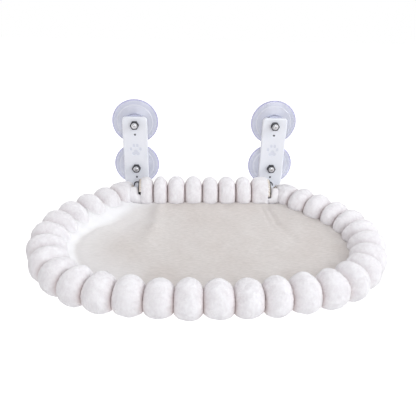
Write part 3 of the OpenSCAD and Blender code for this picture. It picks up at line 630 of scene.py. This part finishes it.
class PuffRow:
    """Puffs between edges along the rim; slits says which ends are open to a hinge arm."""

    def __init__(self, name, edges, slits, seed, ups=()):
        self.name = name
        self.edges = np.array(edges)
        self.puffs = len(edges) - 1
        self.ups = list(ups) + [PUFF_UP] * (self.puffs - len(ups))
        self.slits = slits
        self.rear = name == "rim_rear"
        chance = np.random.default_rng(seed)
        self.sizes = 1 + chance.uniform(-0.02, 0.03, self.puffs)
        self.phases = chance.uniform(0, 2 * math.pi, self.puffs)
        self.edges[1:-1] += chance.uniform(-0.0010, 0.0010, self.puffs - 1)

    def distance(self, puff, u):
        return self.edges[puff] + (self.edges[puff + 1] - self.edges[puff]) * u

    def place(self, puff, u):
        return place_at(self.distance(puff, u))

    def at_slit(self, puff, u):
        """Whether a place lies on the slit's half of an end puff."""
        first = self.slits[0] and puff == 0 and u < 0.5
        return first or (self.slits[1] and puff == self.puffs - 1 and u > 0.5)

    def share(self, puff, u, angle):
        """The size of the row's section there, as a share of a full puff's."""
        crease, full = puff_swell(u, angle, self.rear)
        if self.at_slit(puff, u):
            crease = REAR_END_SHARE if self.rear else SLIT_END_SHARE
        share = crease + (self.sizes[puff] - crease) * full
        small_puff = not self.rear and (self.at_slit(puff, 0.0) or self.at_slit(puff, 1.0))
        if small_puff:
            share = min(share, SLIT_END_SHARE + (share - SLIT_END_SHARE) * 0.75)
        return share

    def height_at(self, puff, u):
        """The puff's height, easing into its neighbours' at the creases."""
        other = self.ups[max(0, puff - 1) if u < 0.5 else min(self.puffs - 1, puff + 1)]
        borrowed = abs(2 * u - 1) ** 3 / 2
        return self.ups[puff] * (1 - borrowed) + other * borrowed

    def point(self, puff, u, angle):
        place = self.place(puff, u)
        inner = PUFF_IN + lobe_swell(self.distance(puff, u))
        reach, rise = section_point(angle, self.height_at(puff, u), inner)
        gathered = abs(2 * u - 1) ** 4
        ripple = GATHER_DEPTH * gathered * math.sin(GATHERS * angle + self.phases[puff])
        rough = (
            self.share(puff, u, angle)
            + ripple / math.hypot(reach, rise)
            + 0.034 * lumps((place[0] + reach * 0.5, place[1], AXIS_Z + rise), 50)
            + 0.016 * lumps((place[0] + reach, place[1] + angle * 0.02, rise), 190)
        )
        x, y = beside(place, reach * rough)
        return x, y, AXIS_Z + rise * rough

    def shade_at(self, puff, u, angle):
        """How much painted shade the crease gets: less on top, and least on the sides that face the
        light.
        """
        if self.rear:
            return 1.0
        s = self.distance(puff, u)
        left = hump(s - LEFT_LOBE_S, 0.17) * (0.5 - 0.5 * math.cos(angle))
        right = hump(s - RIGHT_LOBE_S, 0.12) * (0.5 + 0.5 * math.cos(angle))
        return (1 - 0.35 * parting_at(angle)) * (1 - 0.7 * left) * (1 - 0.7 * right)

    def rings(self):
        """The puff and the share of its length of each ring of points, closer at the creases."""
        rings = []
        for puff in range(self.puffs):
            for step in range(PUFF_STEPS):
                rings.append((puff, 0.5 - 0.5 * math.cos(math.pi * step / PUFF_STEPS)))
        rings.append((self.puffs - 1, 1.0))
        return rings

    def build(self):
        """The row's closed skin, and its pile."""
        angles = [2 * math.pi * k / RIM_SIDES for k in range(RIM_SIDES)]
        rings = self.rings()
        points = []
        crease_shades = []
        for puff, u in rings:
            # Painted shade: most at a puff's ends, none at a slit; the bore's points below get full
            # shade
            dark = 0.0 if self.at_slit(puff, u) else abs(2 * u - 1) ** 5
            for angle in angles:
                points.append(self.point(puff, u, angle))
                crease_shades.append(dark * self.shade_at(puff, u, angle))
        bore = REAR_CHANNEL_R if self.rear else CHANNEL_R
        for puff in range(self.puffs - 1, -1, -1):
            for u in (1.0, 0.5, 0.0) if puff == 0 else (1.0, 0.5):
                for angle in angles:
                    x, y = beside(self.place(puff, u), bore * math.cos(angle))
                    points.append((x, y, AXIS_Z + bore * math.sin(angle)))
        crease_shades += [1.0] * (len(points) - len(crease_shades))
        faces = grid_faces(len(points) // RIM_SIDES, RIM_SIDES, closed_rows=True)
        piece = new_piece("plush_" + self.name, points, faces, "plush")
        store(piece, "crease", crease_shades)
        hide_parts(self.name)
        held = list(range(len(rings) * RIM_SIDES, len(points)))
        for index, (puff, u) in enumerate(rings):
            if u < HELD_END or u > 1 - HELD_END:
                held += range(index * RIM_SIDES, (index + 1) * RIM_SIDES)
        inflate(piece, held)
        open_faces = (len(rings) - 1) * RIM_SIDES
        build_pile("pile_" + self.name, piece, open_faces, crease_shades, len(self.name) + self.puffs)


# Cloth: its settings, the frames it runs, how far a point may move, and the share of a
# puff's length at its creases that is held
CLOTH_SETTINGS = {
    "quality": 4, "mass": 0.2, "tension_stiffness": 25, "compression_stiffness": 25,
    "shear_stiffness": 10, "bending_stiffness": 0.6, "use_pressure": True,
    "uniform_pressure_force": 4.0, "shrink_min": -0.02, "vertex_group_mass": "held",
}
CLOTH_FRAMES = 11
PUFF_LIMIT = 0.0022
HELD_END = 0.004


def inflate(piece, held):
    """Blows a closed skin up as cloth while its held points stay, and keeps the result."""
    mesh = piece.data
    before = point_array(mesh)
    group = piece.vertex_groups.new(name="held")
    group.add(held, 1.0, "REPLACE")
    cloth = piece.modifiers.new("cloth", "CLOTH")
    for label, value in CLOTH_SETTINGS.items():
        setattr(cloth.settings, label, value)
    cloth.settings.effector_weights.gravity = 0
    cloth.collision_settings.use_collision = False
    cloth.point_cache.frame_start = 1
    cloth.point_cache.frame_end = CLOTH_FRAMES
    for number in range(1, CLOTH_FRAMES + 1):
        bpy.context.scene.frame_set(number)
    graph = bpy.context.evaluated_depsgraph_get()
    after = point_array(piece.evaluated_get(graph).data)
    piece.modifiers.remove(cloth)
    piece.vertex_groups.clear()
    bpy.context.scene.frame_set(1)
    shift = (after - before).reshape(-1, 3)
    size = np.linalg.norm(shift, axis=1, keepdims=True)
    shift *= np.minimum(1.0, PUFF_LIMIT / np.maximum(size, 1e-9))
    rings = shift.reshape(-1, RIM_SIDES, 3)
    rings = (2 * rings + np.roll(rings, 1, axis=1) + np.roll(rings, -1, axis=1)) / 4
    mesh.vertices.foreach_set("co", before + rings.reshape(-1))
    mesh.update()


PILE_PER_M2 = 550000
PILE_LENGTH = 0.0036
PILE_WIDTH = 0.00034
PILE_ROOT = 0.0004
PILE_CREASE_LIMIT = 0.5
# How the pile is combed: down, and in waves of so many radians to a metre on each axis
COMB_DOWN = np.array([0.0, 0.0, -0.55])
COMB_WAVES = np.array([[310.0, 170, -230], [140, -290, 260], [-250, 330, 190]])


def build_pile(name, piece, face_count, crease_shades, seed):
    """Thousands of fine tufts that stand on the first faces of a piece, combed down and aside."""
    co = point_array(piece.data).reshape(-1, 3)
    corners = np.array([face.vertices[:] for face in piece.data.polygons[:face_count]])
    shade = np.asarray(crease_shades)[corners].max(axis=1)
    corners = corners[shade < PILE_CREASE_LIMIT]
    a, b, c, d = (co[corners[:, i]] for i in range(4))
    cross = np.cross(c - a, d - b)
    area = np.linalg.norm(cross, axis=1) / 2
    normal = cross / (2 * area[:, None] + 1e-12)
    chance = np.random.default_rng(seed)
    count = int(area.sum() * PILE_PER_M2)
    chosen = chance.choice(len(area), size=count, p=area / area.sum())
    u = chance.random((count, 1))
    v = chance.random((count, 1))
    near = a[chosen] * (1 - u) + d[chosen] * u
    far = b[chosen] * (1 - u) + c[chosen] * u
    root = near * (1 - v) + far * v
    up = normal[chosen]
    waves = np.sin(root @ COMB_WAVES.T)
    comb = COMB_DOWN + 0.55 * waves + 0.5 * chance.standard_normal((count, 3))
    comb -= (comb * up).sum(axis=1, keepdims=True) * up
    lean = up * 0.75 + 0.6 * comb
    lean /= np.linalg.norm(lean, axis=1, keepdims=True)
    across = np.cross(lean, up)
    across /= np.linalg.norm(across, axis=1, keepdims=True) + 1e-12
    length = PILE_LENGTH * chance.uniform(0.6, 1.1, (count, 1))
    width = PILE_WIDTH * chance.uniform(0.7, 1.3, (count, 1))
    foot = root - up * PILE_ROOT
    tufts = np.stack([foot - across * width, foot + across * width, foot + lean * length], axis=1)
    faces = np.arange(3 * count).reshape(-1, 3)
    new_piece(name, tufts.reshape(-1, 3), faces.tolist(), "plush", "plush_pile", False)


def weighted_edges(s_from, s_to, widths):
    edges = [s_from]
    for width in widths:
        edges.append(edges[-1] + (s_to - s_from) * width / sum(widths))
    return edges


def even_edges(s_from, s_to, puffs):
    return [s_from + (s_to - s_from) * i / puffs for i in range(puffs + 1)]


REAR_EDGES = weighted_edges(-REAR_LEFT_END, REAR_RIGHT_END, REAR_WIDTHS)
RIGHT_EDGES = even_edges(SIDE_RIM_START, FRONT_FROM, SIDE_PUFFS)
PUFF_ROWS = [
    PuffRow("rim_rear", REAR_EDGES, (True, True), 3, [REAR_PUFF_UP] * len(REAR_WIDTHS)),
    PuffRow("rim_right", RIGHT_EDGES, (True, False), 5, LOW_RIGHT_UPS),
    PuffRow("rim_front", even_edges(FRONT_FROM, FRONT_TO, FRONT_PUFFS), (False, False), 7),
    PuffRow("rim_left", even_edges(FRONT_TO, LOOP_END, SIDE_PUFFS), (False, True), 9),
]
# The angle of the puffs' inner side, a little below the middle
INNER_ANGLE = math.pi + 0.3


def inner_reach(s, z):
    """How far the rim's puffs reach towards the mat at a place and a height."""
    s = s % LOOP
    if s > LOOP - REAR_LEFT_END:
        s -= LOOP
    deep = min(1.0, abs(z - AXIS_Z) / PUFF_DOWN)
    for row in PUFF_ROWS:
        if row.edges[0] <= s <= row.edges[-1]:
            puff = min(row.puffs - 1, max(0, int(np.searchsorted(row.edges, s) - 1)))
            run = row.edges[puff + 1] - row.edges[puff]
            share = row.share(puff, clamped((s - row.edges[puff]) / run), INNER_ANGLE)
            narrower = math.sqrt(max(0.05, 1 - min(1, deep / share) ** 2.2))
            return (PUFF_IN + lobe_swell(s)) * share * narrower
    return PUFF_IN


# Soft folds of the mat: both ends, height and half width, in metres
FOLDS = [
    ((-0.078, -0.089), (-0.0817, -0.154), 0.0045, 0.010),
    ((-0.0817, -0.154), (-0.0918, -0.194), 0.0030, 0.012),
    ((-0.094, -0.100), (-0.134, -0.160), -0.0025, 0.012),
    ((0.1043, -0.0894), (0.1123, -0.1426), -0.0025, 0.0045),
    ((0.1123, -0.1426), (0.1300, -0.1900), -0.0012, 0.006),
    ((0.0957, -0.0894), (0.1016, -0.1488), -0.0020, 0.0045),
    ((-0.0034, -0.120), (-0.0070, -0.232), 0.0012, 0.016),
    ((0.0499, -0.0894), (0.0574, -0.2475), 0.0010, 0.018),
    ((-0.160, -0.235), (-0.080, -0.262), 0.0014, 0.012),
]
# The foot of the mat's left margin, which is white and climbs the rim
BANK_FOOT = [
    (-0.0767, -0.0651), (-0.0916, -0.0822), (-0.1134, -0.1028), (-0.1320, -0.1257),
    (-0.1500, -0.1450), (-0.1735, -0.1594), (-0.1890, -0.1823), (-0.1940, -0.2041),
    (-0.1910, -0.2249), (-0.1820, -0.2495), (-0.1611, -0.2707), (-0.1400, -0.2850),
]
# The margin's rise and run, the crease along its foot, and the painted glow of light beside it
BANK_RISE = 0.019
BANK_RUN = 0.045
BANK_CREASE = 0.0016
BANK_PAINTED_GLOW = 0.45


def off_segment(x, y, start, end):
    """The step from the nearest point of a straight segment to a point."""
    run_x = end[0] - start[0]
    run_y = end[1] - start[1]
    share = ((x - start[0]) * run_x + (y - start[1]) * run_y) / (run_x * run_x + run_y * run_y)
    held = clamped(share)
    return x - start[0] - held * run_x, y - start[1] - held * run_y


def beyond_bank_foot(x, y):
    """How far a point lies outside the foot of the left margin; negative on the mat's side."""
    best = math.inf
    for start, end in zip(BANK_FOOT, BANK_FOOT[1:]):
        off_x, off_y = off_segment(x, y, start, end)
        far = math.hypot(off_x, off_y)
        if far < abs(best):
            outward = (end[1] - start[1]) * off_x - (end[0] - start[0]) * off_y
            best = math.copysign(far, outward)
    return best


def bank_height(x, y):
    """How high the left margin climbs at a point, with a crease along its foot."""
    beyond_foot = beyond_bank_foot(x, y)
    slack = ease((-x - 0.09) / 0.11)
    crease = BANK_CREASE * hump(beyond_foot, 0.004) * ease((-x - 0.12) / 0.04)
    return BANK_RISE * ease(beyond_foot / BANK_RUN) * slack - crease


def bank_white_and_painted_glow(x, y):
    """How white the mat is at a point: fully on the left margin, with a painted glow of light beside it.
    """
    if x > -0.05:
        return 0.0
    beyond_foot = beyond_bank_foot(x, y)
    tight = ease((-x - 0.10) / 0.08)
    fade = 0.030 - 0.022 * tight
    glow = BANK_PAINTED_GLOW * ease((beyond_foot + 0.075) / 0.075) * ease((-x - 0.06) / 0.05)
    return max(glow, ease((beyond_foot + fade) / (2 * fade)))


def fold_height(x, y):
    height = 0.0
    for start, end, rise, width in FOLDS:
        height += rise * hump(math.hypot(*off_segment(x, y, start, end)), width)
    return height


PUFF_CLEARANCE = 0.0004


def wavy_outline(count, z, widest):
    """The closed line inside the rim that keeps a clearance to each puff."""
    outline = []
    for k in range(count):
        s = LOOP * k / count
        inset = min(widest, inner_reach(s, z) + PUFF_CLEARANCE)
        outline.append(beside(place_at(s), -inset))
    return outline


def smooth_outline(count, inset):
    return [beside(place_at(LOOP * k / count), -inset) for k in range(count)]


def towards_middle(spot, share):
    return spot[0] * share, MAT_MIDDLE_Y + (spot[1] - MAT_MIDDLE_Y) * share


MAT_POINTS = 480
MAT_RINGS = 72
MAT_SAG = 0.004
# The mat's edge: the most it lies inside the rim's centre line, and its height there
MAT_INSET = 0.0243
TUCK_Z = -0.043
# The edge's outer rings: share of the way from the middle, and drop below the top
MAT_EDGE = ((1.0, 0.0045), (0.985, 0.0014), (0.965, 0.0003))
MAT_UNDERSIDE = ((1.0, -0.0455), (0.985, MAT_BOTTOM + 0.0004), (0.9, MAT_BOTTOM + 0.0001))
# Shares of the way in over which the edge's waves fade out and the folds fade in
MAT_WAVE_FADE = 0.05
FOLD_FADE = 0.12


def climbed_outline(tucked):
    """The mat's outline, moved out where the left margin climbs past the puffs' widest."""
    outline = []
    for k, (x, y) in enumerate(tucked):
        s = LOOP * k / len(tucked)
        rise = bank_height(x, y)
        reach = inner_reach(s, TUCK_Z)
        gap = reach - inner_reach(s, MAT_TOP + rise) if rise > 0.001 else 0.0
        outline.append(beside(place_at(s), -reach + gap + 0.001) if gap > 0 else (x, y))
    return outline


def build_mat():
    tucked = wavy_outline(MAT_POINTS, TUCK_Z, MAT_INSET)
    smooth = smooth_outline(MAT_POINTS, MAT_INSET)
    climbed = climbed_outline(tucked)
    rings = [(share, drop, 0.0) for share, drop in MAT_EDGE]
    for i in range(MAT_RINGS):
        share = 0.94 - 0.94 * i / MAT_RINGS
        rings.append((share, 0.0, min(1.0, (1 - share) / FOLD_FADE)))
    points = []
    whites_and_painted_glow = []
    for share, drop, folded in rings:
        wave = max(0.0, 1 - (1 - share) / MAT_WAVE_FADE)
        for inner, outer in zip(smooth, climbed):
            x, y = towards_middle(between(inner, outer, wave), share)
            z = MAT_TOP - MAT_SAG * (1 - share * share) - drop
            z += bank_height(x, y) + fold_height(x, y) * folded
            z += 0.0007 * lumps((x, y, 0), 28) + 0.00035 * lumps((x, y, 1), 110)
            points.append((x, y, z))
            whites_and_painted_glow.append(bank_white_and_painted_glow(x, y))
    for share, z in MAT_UNDERSIDE:
        for outer in tucked:
            points.append((*towards_middle(outer, share), z))
    low = len(rings) * MAT_POINTS
    lower = low + MAT_POINTS
    lowest = lower + MAT_POINTS
    faces = flipped(grid_faces(len(rings), MAT_POINTS))
    for upper_ring, lower_ring in ((0, low), (low, lower), (lower, lowest)):
        faces += wall_faces(upper_ring, lower_ring, MAT_POINTS)
    faces += cap_faces(low - MAT_POINTS, lowest, MAT_POINTS, len(points))
    points.append((0, MAT_MIDDLE_Y, MAT_TOP - MAT_SAG + fold_height(0, MAT_MIDDLE_Y)))
    points.append((0, MAT_MIDDLE_Y, MAT_UNDERSIDE[-1][1]))
    piece = new_piece("mat_cushion", points, faces, "mat_pile")
    store(piece, "white", whites_and_painted_glow + [0.0] * (len(points) - len(whites_and_painted_glow)))
    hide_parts("sleeping_mat")


SLING_POINTS = 360
SLING_RINGS = 48
SLING_INSET = 0.0215
# The cloth's own thickness, its gap under the mat, and its sag in the middle
SLING_CLOTH_T = SLING_T * 0.6
SLING_GAP = 0.0001
SLING_MIDDLE_GAP = 0.0012
SLING_SAG = 0.0008


def build_sling():
    edge = wavy_outline(SLING_POINTS, MAT_BOTTOM, SLING_INSET)
    smooth = smooth_outline(SLING_POINTS, SLING_INSET)
    shares = [1.0, 0.985] + [0.97 - 0.97 * i / SLING_RINGS for i in range(SLING_RINGS)]
    points = []
    for level in (0, 1):
        for share in shares:
            wave = max(0.0, 1 - (1 - share) / 0.08)
            for inner, outer in zip(smooth, edge):
                x, y = towards_middle(between(inner, outer, wave), share)
                pucker = 0.0003 * (lumps((x, y, 2), 60) - 1) * min(1.0, (1 - share) / 0.02)
                pucker -= SLING_SAG * ease((1 - share) / 0.6)
                points.append((x, y, MAT_BOTTOM - SLING_GAP - level * SLING_CLOTH_T + pucker))
    under = len(shares) * SLING_POINTS
    grid = grid_faces(len(shares), SLING_POINTS)
    faces = flipped(grid)
    faces += shifted(grid, under)
    faces += wall_faces(0, under, SLING_POINTS)
    faces += cap_faces(under - SLING_POINTS, 2 * under - SLING_POINTS, SLING_POINTS, len(points))
    points.append((0, MAT_MIDDLE_Y, MAT_BOTTOM - SLING_MIDDLE_GAP))
    points.append((0, MAT_MIDDLE_Y, MAT_BOTTOM - SLING_MIDDLE_GAP - SLING_CLOTH_T))
    piece = new_piece("sling_weave_sheet", points, faces, "sling_weave")
    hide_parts("sling_cloth")


# Angles round the rim's section between which a slit stays open, from under the
# tube's window side over the top to the mat side, on the left (-1) and the right (1)
SLIT_FROM = math.radians(-75)
TAPE_TO = {-1: math.radians(148), 1: math.radians(167)}
SLIT_SHADE_TO = {-1: math.radians(139), 1: math.radians(157)}
SIDE_TAPE_TO = math.radians(150)
BAND_STEPS = 56
# Sections of the tape and of the dark band of painted shade inside it: run along the rim and stand-off
# from the puff's end
TAPE_SECTION = [
    (-0.0018, -0.0010), (-0.0016, 0.0006), (-0.0010, 0.0010), (0.0022, 0.0010),
    (0.0030, 0.0006), (0.0033, -0.0010), (0.0033, -0.0030), (0.0002, -0.0030),
]
SLIT_SHADE_SECTION = [
    (0.0032, -0.0034), (0.0032, -0.0008), (0.0039, -0.0002), (0.0046, -0.0010), (0.0046, -0.0034),
]
# Corners of the tape's section whose faces get painted brown shade along the tape's edges
TAPE_SHADED_EDGES = (0, 4, 5)
# The side rims' tape lies hidden inside the mouth of the first puff
SIDE_TAPE_SHARE = 0.62


def rear_end(side):
    return REAR_RIGHT_END if side > 0 else -REAR_LEFT_END


def band(x, side, up, section, last_angle, share):
    """Points and faces of a band round a rim end at x, from the slit's first angle."""
    points = []
    for step in range(BAND_STEPS + 1):
        angle = SLIT_FROM + (last_angle - SLIT_FROM) * step / BAND_STEPS
        reach, rise = section_point(angle, up)
        for along, off in section:
            grown = share + off / math.hypot(reach, rise)
            points.append((x + side * along, AXIS_Y + reach * grown, AXIS_Z + rise * grown))
    corners = len(section)
    faces = grid_faces(BAND_STEPS + 1, corners)
    faces.append(tuple(range(corners)))
    faces.append(tuple(reversed(range(BAND_STEPS * corners, len(points)))))
    return points, faces


def build_binding(name, side):
    """Woven tape folded over both edges of a slit, with painted brown shade along its edges, and a dark
    band inside the rear slit that is painted shade for the gap there.
    """
    rear = (rear_end(side), side, REAR_PUFF_UP)
    front = (side * SIDE_RIM_START, -side, LOW_RIGHT_UPS[0] if side > 0 else PUFF_UP)
    points, faces = band(*rear, TAPE_SECTION, TAPE_TO[side], REAR_END_SHARE)
    front_points, front_faces = band(*front, TAPE_SECTION, SIDE_TAPE_TO, SIDE_TAPE_SHARE)
    one_band = len(faces)
    faces += shifted(front_faces, len(points))
    piece = new_piece("tape_" + name, points + front_points, faces, "edge_tape")
    piece.data.materials.append(MATERIALS["tape_edge_shade"])
    for face in piece.data.polygons:
        within = face.index % one_band
        if within < one_band - 2 and within % len(TAPE_SECTION) in TAPE_SHADED_EDGES:
            face.material_index = 1
    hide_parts(name)
    # Painted shade: a dark band where the rear slit's gap is in shadow
    slit_shade = band(*rear, SLIT_SHADE_SECTION, SLIT_SHADE_TO[side], REAR_END_SHARE)
    new_piece("backing_" + name, *slit_shade, "black_rubber", "backing_weave")


WEB_TO = math.radians(285)
WEB_R = 0.0130
# The web keeps this far on the mat side of the hinge axis above the arm's eye
WEB_CLEAR = 0.0098
WEB_UP = {-1: 0.0235, 1: 0.0215}
# Shares of a full section at the web's rear edge, at its far edge and in its middle
WEB_NEAR_SHARE = 0.80
WEB_FAR_SHARE = {-1: 0.84, 1: 0.72}
WEB_FULL_SHARE = 0.93
WEB_STEPS = 16
WEB_SIDES = 44
WEB_RISE_STEPS = 8


def web_x(angle, u, side):
    """Where a share u of the web's width lies; below the tape it starts inside the rear puff."""
    below = ease((angle - TAPE_TO[side]) / math.radians(8))
    x_from = rear_end(side) + side * (0.0050 - 0.0062 * below)
    x_to = side * (SIDE_RIM_START + 0.0012)
    return x_from + (x_to - x_from) * u


def web_outer(u, side, first):
    """The web's outer line at a share u of its width, from the rise over the top to below."""
    swell = math.sqrt(max(0.0, 1 - abs(2 * u - 1) ** 2.2))
    edge_share = WEB_NEAR_SHARE if u < 0.5 else WEB_FAR_SHARE[side]
    share = edge_share + (WEB_FULL_SHARE - edge_share) * swell
    outer = []
    for k in range(WEB_SIDES + 1):
        turn = k / WEB_SIDES
        angle = first + (WEB_TO - first) * turn
        reach, rise = section_point(angle, WEB_UP[side])
        end = min(1.0, 8 * (1 - turn))
        inner = WEB_R / math.hypot(reach, rise)
        rough = 0.02 * lumps((side * u * 0.014, reach, rise), 120)
        grown = inner + (share + rough - inner) * math.sqrt(max(0.0, 1 - (1 - end) ** 2))
        y = AXIS_Y + min(-WEB_CLEAR, reach * grown)
        outer.append((web_x(angle, u, side), y, AXIS_Z + rise * grown))
    return outer


def web_inner(u, side, top):
    """The web's inner line, back round the arm's eye and up to just below its top."""
    straight = math.pi - math.acos(WEB_CLEAR / WEB_R)
    inner = []
    inner_steps = WEB_SIDES - WEB_RISE_STEPS
    for k in range(1, inner_steps):
        angle = WEB_TO + (straight - WEB_TO) * k / inner_steps
        y = AXIS_Y + WEB_R * math.cos(angle)
        inner.append((web_x(angle, u, side), y, AXIS_Z + WEB_R * math.sin(angle)))
    eye = AXIS_Z + WEB_R * math.sin(straight)
    for k in range(WEB_RISE_STEPS):
        z = eye + (top - 0.0006 - eye) * k / (WEB_RISE_STEPS - 1)
        inner.append((web_x(straight, u, side), AXIS_Y - WEB_CLEAR, z))
    return inner


def build_web(name, side):
    """The small puff that joins the rim on the mat side of a slit, clear of the hinge arm."""
    first = math.pi - math.acos((WEB_CLEAR / PUFF_IN) ** (SECTION_POWER / 2))
    points = []
    for step in range(WEB_STEPS + 1):
        u = 0.5 - 0.5 * math.cos(math.pi * step / WEB_STEPS)
        outer = web_outer(u, side, first)
        points += outer + web_inner(u, side, outer[0][2])
    ring = 2 * WEB_SIDES
    faces = grid_faces(WEB_STEPS + 1, ring)
    for base in (0, WEB_STEPS * ring):
        for k in range(WEB_SIDES - 1):
            inner = base + ring - 1 - k
            nearest = base + k + 1
            faces.append((base + k, nearest, inner) if k == 0 else (base + k, nearest, inner, inner + 1))
        faces.append((base + WEB_SIDES - 1, base + WEB_SIDES, base + WEB_SIDES + 1))
    piece = new_piece(name, points, faces, "plush")


# The zip: the gap between its tapes, its teeth and its end stops; half sizes from a middle
TAPE_GAP = 0.0012
TAPE_LIFT = 0.0002
TOOTH_PITCH = 0.003
TOOTH_HALF = (0.00115, 0.0019)
TOOTH_SHIFT = 0.0005
TOOTH_T = 0.0016
STOP_HALF = (0.0015, 0.0028)
STOP_T = 0.0022
TAPE_PINCH = 0.0001
TOOTH_PINCH = 0.0003
BOX_FACES = [(0, 1, 2, 3), (7, 6, 5, 4), (0, 4, 5, 1), (1, 5, 6, 2), (2, 6, 7, 3), (3, 7, 4, 0)]


def build_zip():
    """Two woven tapes, a row of moulded teeth and the two end stops."""
    points = []
    faces = []

    def block(middle, half_size, bottom, top, pinch):
        """A box round a middle, a little smaller at its bottom."""
        faces.extend(shifted(BOX_FACES, len(points)))
        for z, cut in ((bottom, pinch), (top, 0.0)):
            for x_way, y_way in ((-1, -1), (1, -1), (1, 1), (-1, 1)):
                x = middle[0] + x_way * (half_size[0] - cut)
                y = middle[1] + y_way * (half_size[1] - cut)
                points.append((x, y, z))

    half = ZIP_L / 2
    tape_bottom = ZIP_TOP - ZIP_TAPE_T
    tape_half_w = (ZIP_TAPE_W - TAPE_GAP) / 4
    for way in (-1, 1):
        middle = (0, ZIP_Y + way * (TAPE_GAP / 2 + tape_half_w))
        block(middle, (half, tape_half_w), tape_bottom, ZIP_TOP - TAPE_LIFT, TAPE_PINCH)
    for index in range(int(ZIP_L / TOOTH_PITCH) - 3):
        x = -half + (index + 1.5) * TOOTH_PITCH
        middle = (x, ZIP_Y + (TOOTH_SHIFT if index % 2 else -TOOTH_SHIFT))
        block(middle, TOOTH_HALF, tape_bottom - TOOTH_T, tape_bottom, TOOTH_PINCH)
    for way in (-1, 1):
        middle = (way * (half - STOP_HALF[0]), ZIP_Y)
        block(middle, STOP_HALF, tape_bottom - STOP_T, tape_bottom, TOOTH_PINCH)
    piece = new_piece("zip_rows", points, faces, "zip_weave", smooth=False)
    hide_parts("zip_tape")


# Camera, floor and light: the camera's place and its turns to the right, down and round,
# in degrees, and the lamps' places, sizes, watts and colours
CAMERA_PLACE = (-0.042, -0.825, 0.366)
CAMERA_TURNS = (3.6, 28.9, 1.7)
FOCAL_PX = 500
PICTURE_PX = 416
SENSOR_MM = 36
ROOM_COLOR = (1.0, 0.975, 0.98, 1)
ROOM_LIGHT = 0.55
FLOOR_Z = -0.90
FLOOR_HALF = 6.0
FLOOR_GLOW = 0.62
LAMP_TARGET = (0, -0.2, -0.03)
COOL = (0.96, 0.98, 1.0)
WARM = (1.0, 0.97, 0.97)
LAMPS = [
    ("lamp_right", (1.5, -0.6, 0.9), 0.9, 10.5, COOL),
    ("lamp_left", (-1.6, -1.0, 0.5), 0.9, 3.0, WARM),
    ("lamp_front", (0.5, -1.9, 0.8), 1.2, 11.0, COOL),
    ("lamp_low", (1.5, -0.9, -0.15), 0.9, 1.2, COOL),
    ("lamp_back", (-0.1, 0.9, 1.3), 0.9, 7.5, COOL),
]


def build_camera():
    yaw, pitch, roll = (math.radians(a) for a in CAMERA_TURNS)
    across = math.cos(pitch)
    forward = Vector((math.sin(yaw) * across, math.cos(yaw) * across, -math.sin(pitch)))
    right = Vector((math.cos(yaw), -math.sin(yaw), 0))
    up = right.cross(forward)
    level_right = math.cos(roll) * right + math.sin(roll) * up
    level_up = -math.sin(roll) * right + math.cos(roll) * up
    data = bpy.data.cameras.new("camera")
    data.sensor_width = SENSOR_MM
    data.lens = SENSOR_MM * FOCAL_PX / PICTURE_PX
    data.clip_end = 50
    camera = new_object("camera", data)
    turn = Matrix((level_right, level_up, -forward)).transposed().to_4x4()
    camera.matrix_world = Matrix.Translation(CAMERA_PLACE) @ turn
    bpy.context.scene.camera = camera


def seen_share(tree):
    """1 for what the camera sees, directly, mirrored or through glass."""
    path = node(tree, "LightPath")
    seen = result_of(tree, "MAXIMUM", path.outputs["Is Camera Ray"], path.outputs["Is Glossy Ray"])
    return result_of(tree, "MAXIMUM", seen, path.outputs["Is Transmission Ray"])


def build_world():
    """A soft room light, and plain white where the camera sees past the object."""
    world = bpy.data.worlds.new("room")
    world.use_nodes = True
    tree = world.node_tree
    tree.nodes.clear()
    light = node(tree, "Background", {"Color": ROOM_COLOR, "Strength": ROOM_LIGHT})
    white = node(tree, "Background", {"Color": (*WHITE, 1), "Strength": 1.0})
    chosen = node(tree, "MixShader", {0: seen_share(tree), 1: light.outputs[0], 2: white.outputs[0]})
    out = node(tree, "OutputWorld")
    tree.links.new(chosen.outputs[0], out.inputs["Surface"])
    bpy.context.scene.world = world


def build_floor():
    """A white floor far below, which glows a little only where it is seen."""
    spots = ((-1, -1), (1, -1), (1, 1), (-1, 1))
    mesh = bpy.data.meshes.new("floor")
    mesh.from_pydata([(x * FLOOR_HALF, y * FLOOR_HALF, FLOOR_Z) for x, y in spots], [], [(0, 1, 2, 3)])
    tree = shader("floor", (0.93, 0.93, 0.93), 0.9)
    feed(tree, "Base Color", mottled_grey(tree, 3, 0.92, 0.94))
    glow = node(tree, "Emission", {"Color": (*WHITE, 1), "Strength": FLOOR_GLOW})
    plain = tree.nodes["Principled BSDF"].outputs[0]
    lit = node(tree, "AddShader", {0: plain, 1: glow.outputs[0]})
    chosen = node(tree, "MixShader", {0: seen_share(tree), 1: plain, 2: lit.outputs[0]})
    tree.links.new(chosen.outputs[0], tree.nodes["Material Output"].inputs["Surface"])
    mesh.materials.append(MATERIALS["floor"])
    new_object("floor", mesh)


def build_lamp(name, place, size, watts, color):
    data = bpy.data.lights.new(name, "AREA")
    data.shape = "DISK"
    data.size = size
    data.energy = watts
    data.color = color
    towards = Vector(LAMP_TARGET) - Vector(place)
    turn = towards.to_track_quat("-Z", "Y").to_matrix().to_4x4()
    new_object(name, data).matrix_world = Matrix.Translation(place) @ turn


dress_cad_nodes()
for puff_row in PUFF_ROWS:
    puff_row.build()
build_mat()
build_sling()
build_binding("slit_binding_left", -1)
build_binding("slit_binding_right", 1)
build_web("plush_web_left", -1)
build_web("plush_web_right", 1)
build_zip()
build_camera()
build_world()
build_floor()
for lamp in LAMPS:
    build_lamp(*lamp)

bpy.context.scene.view_settings.view_transform = "Standard"
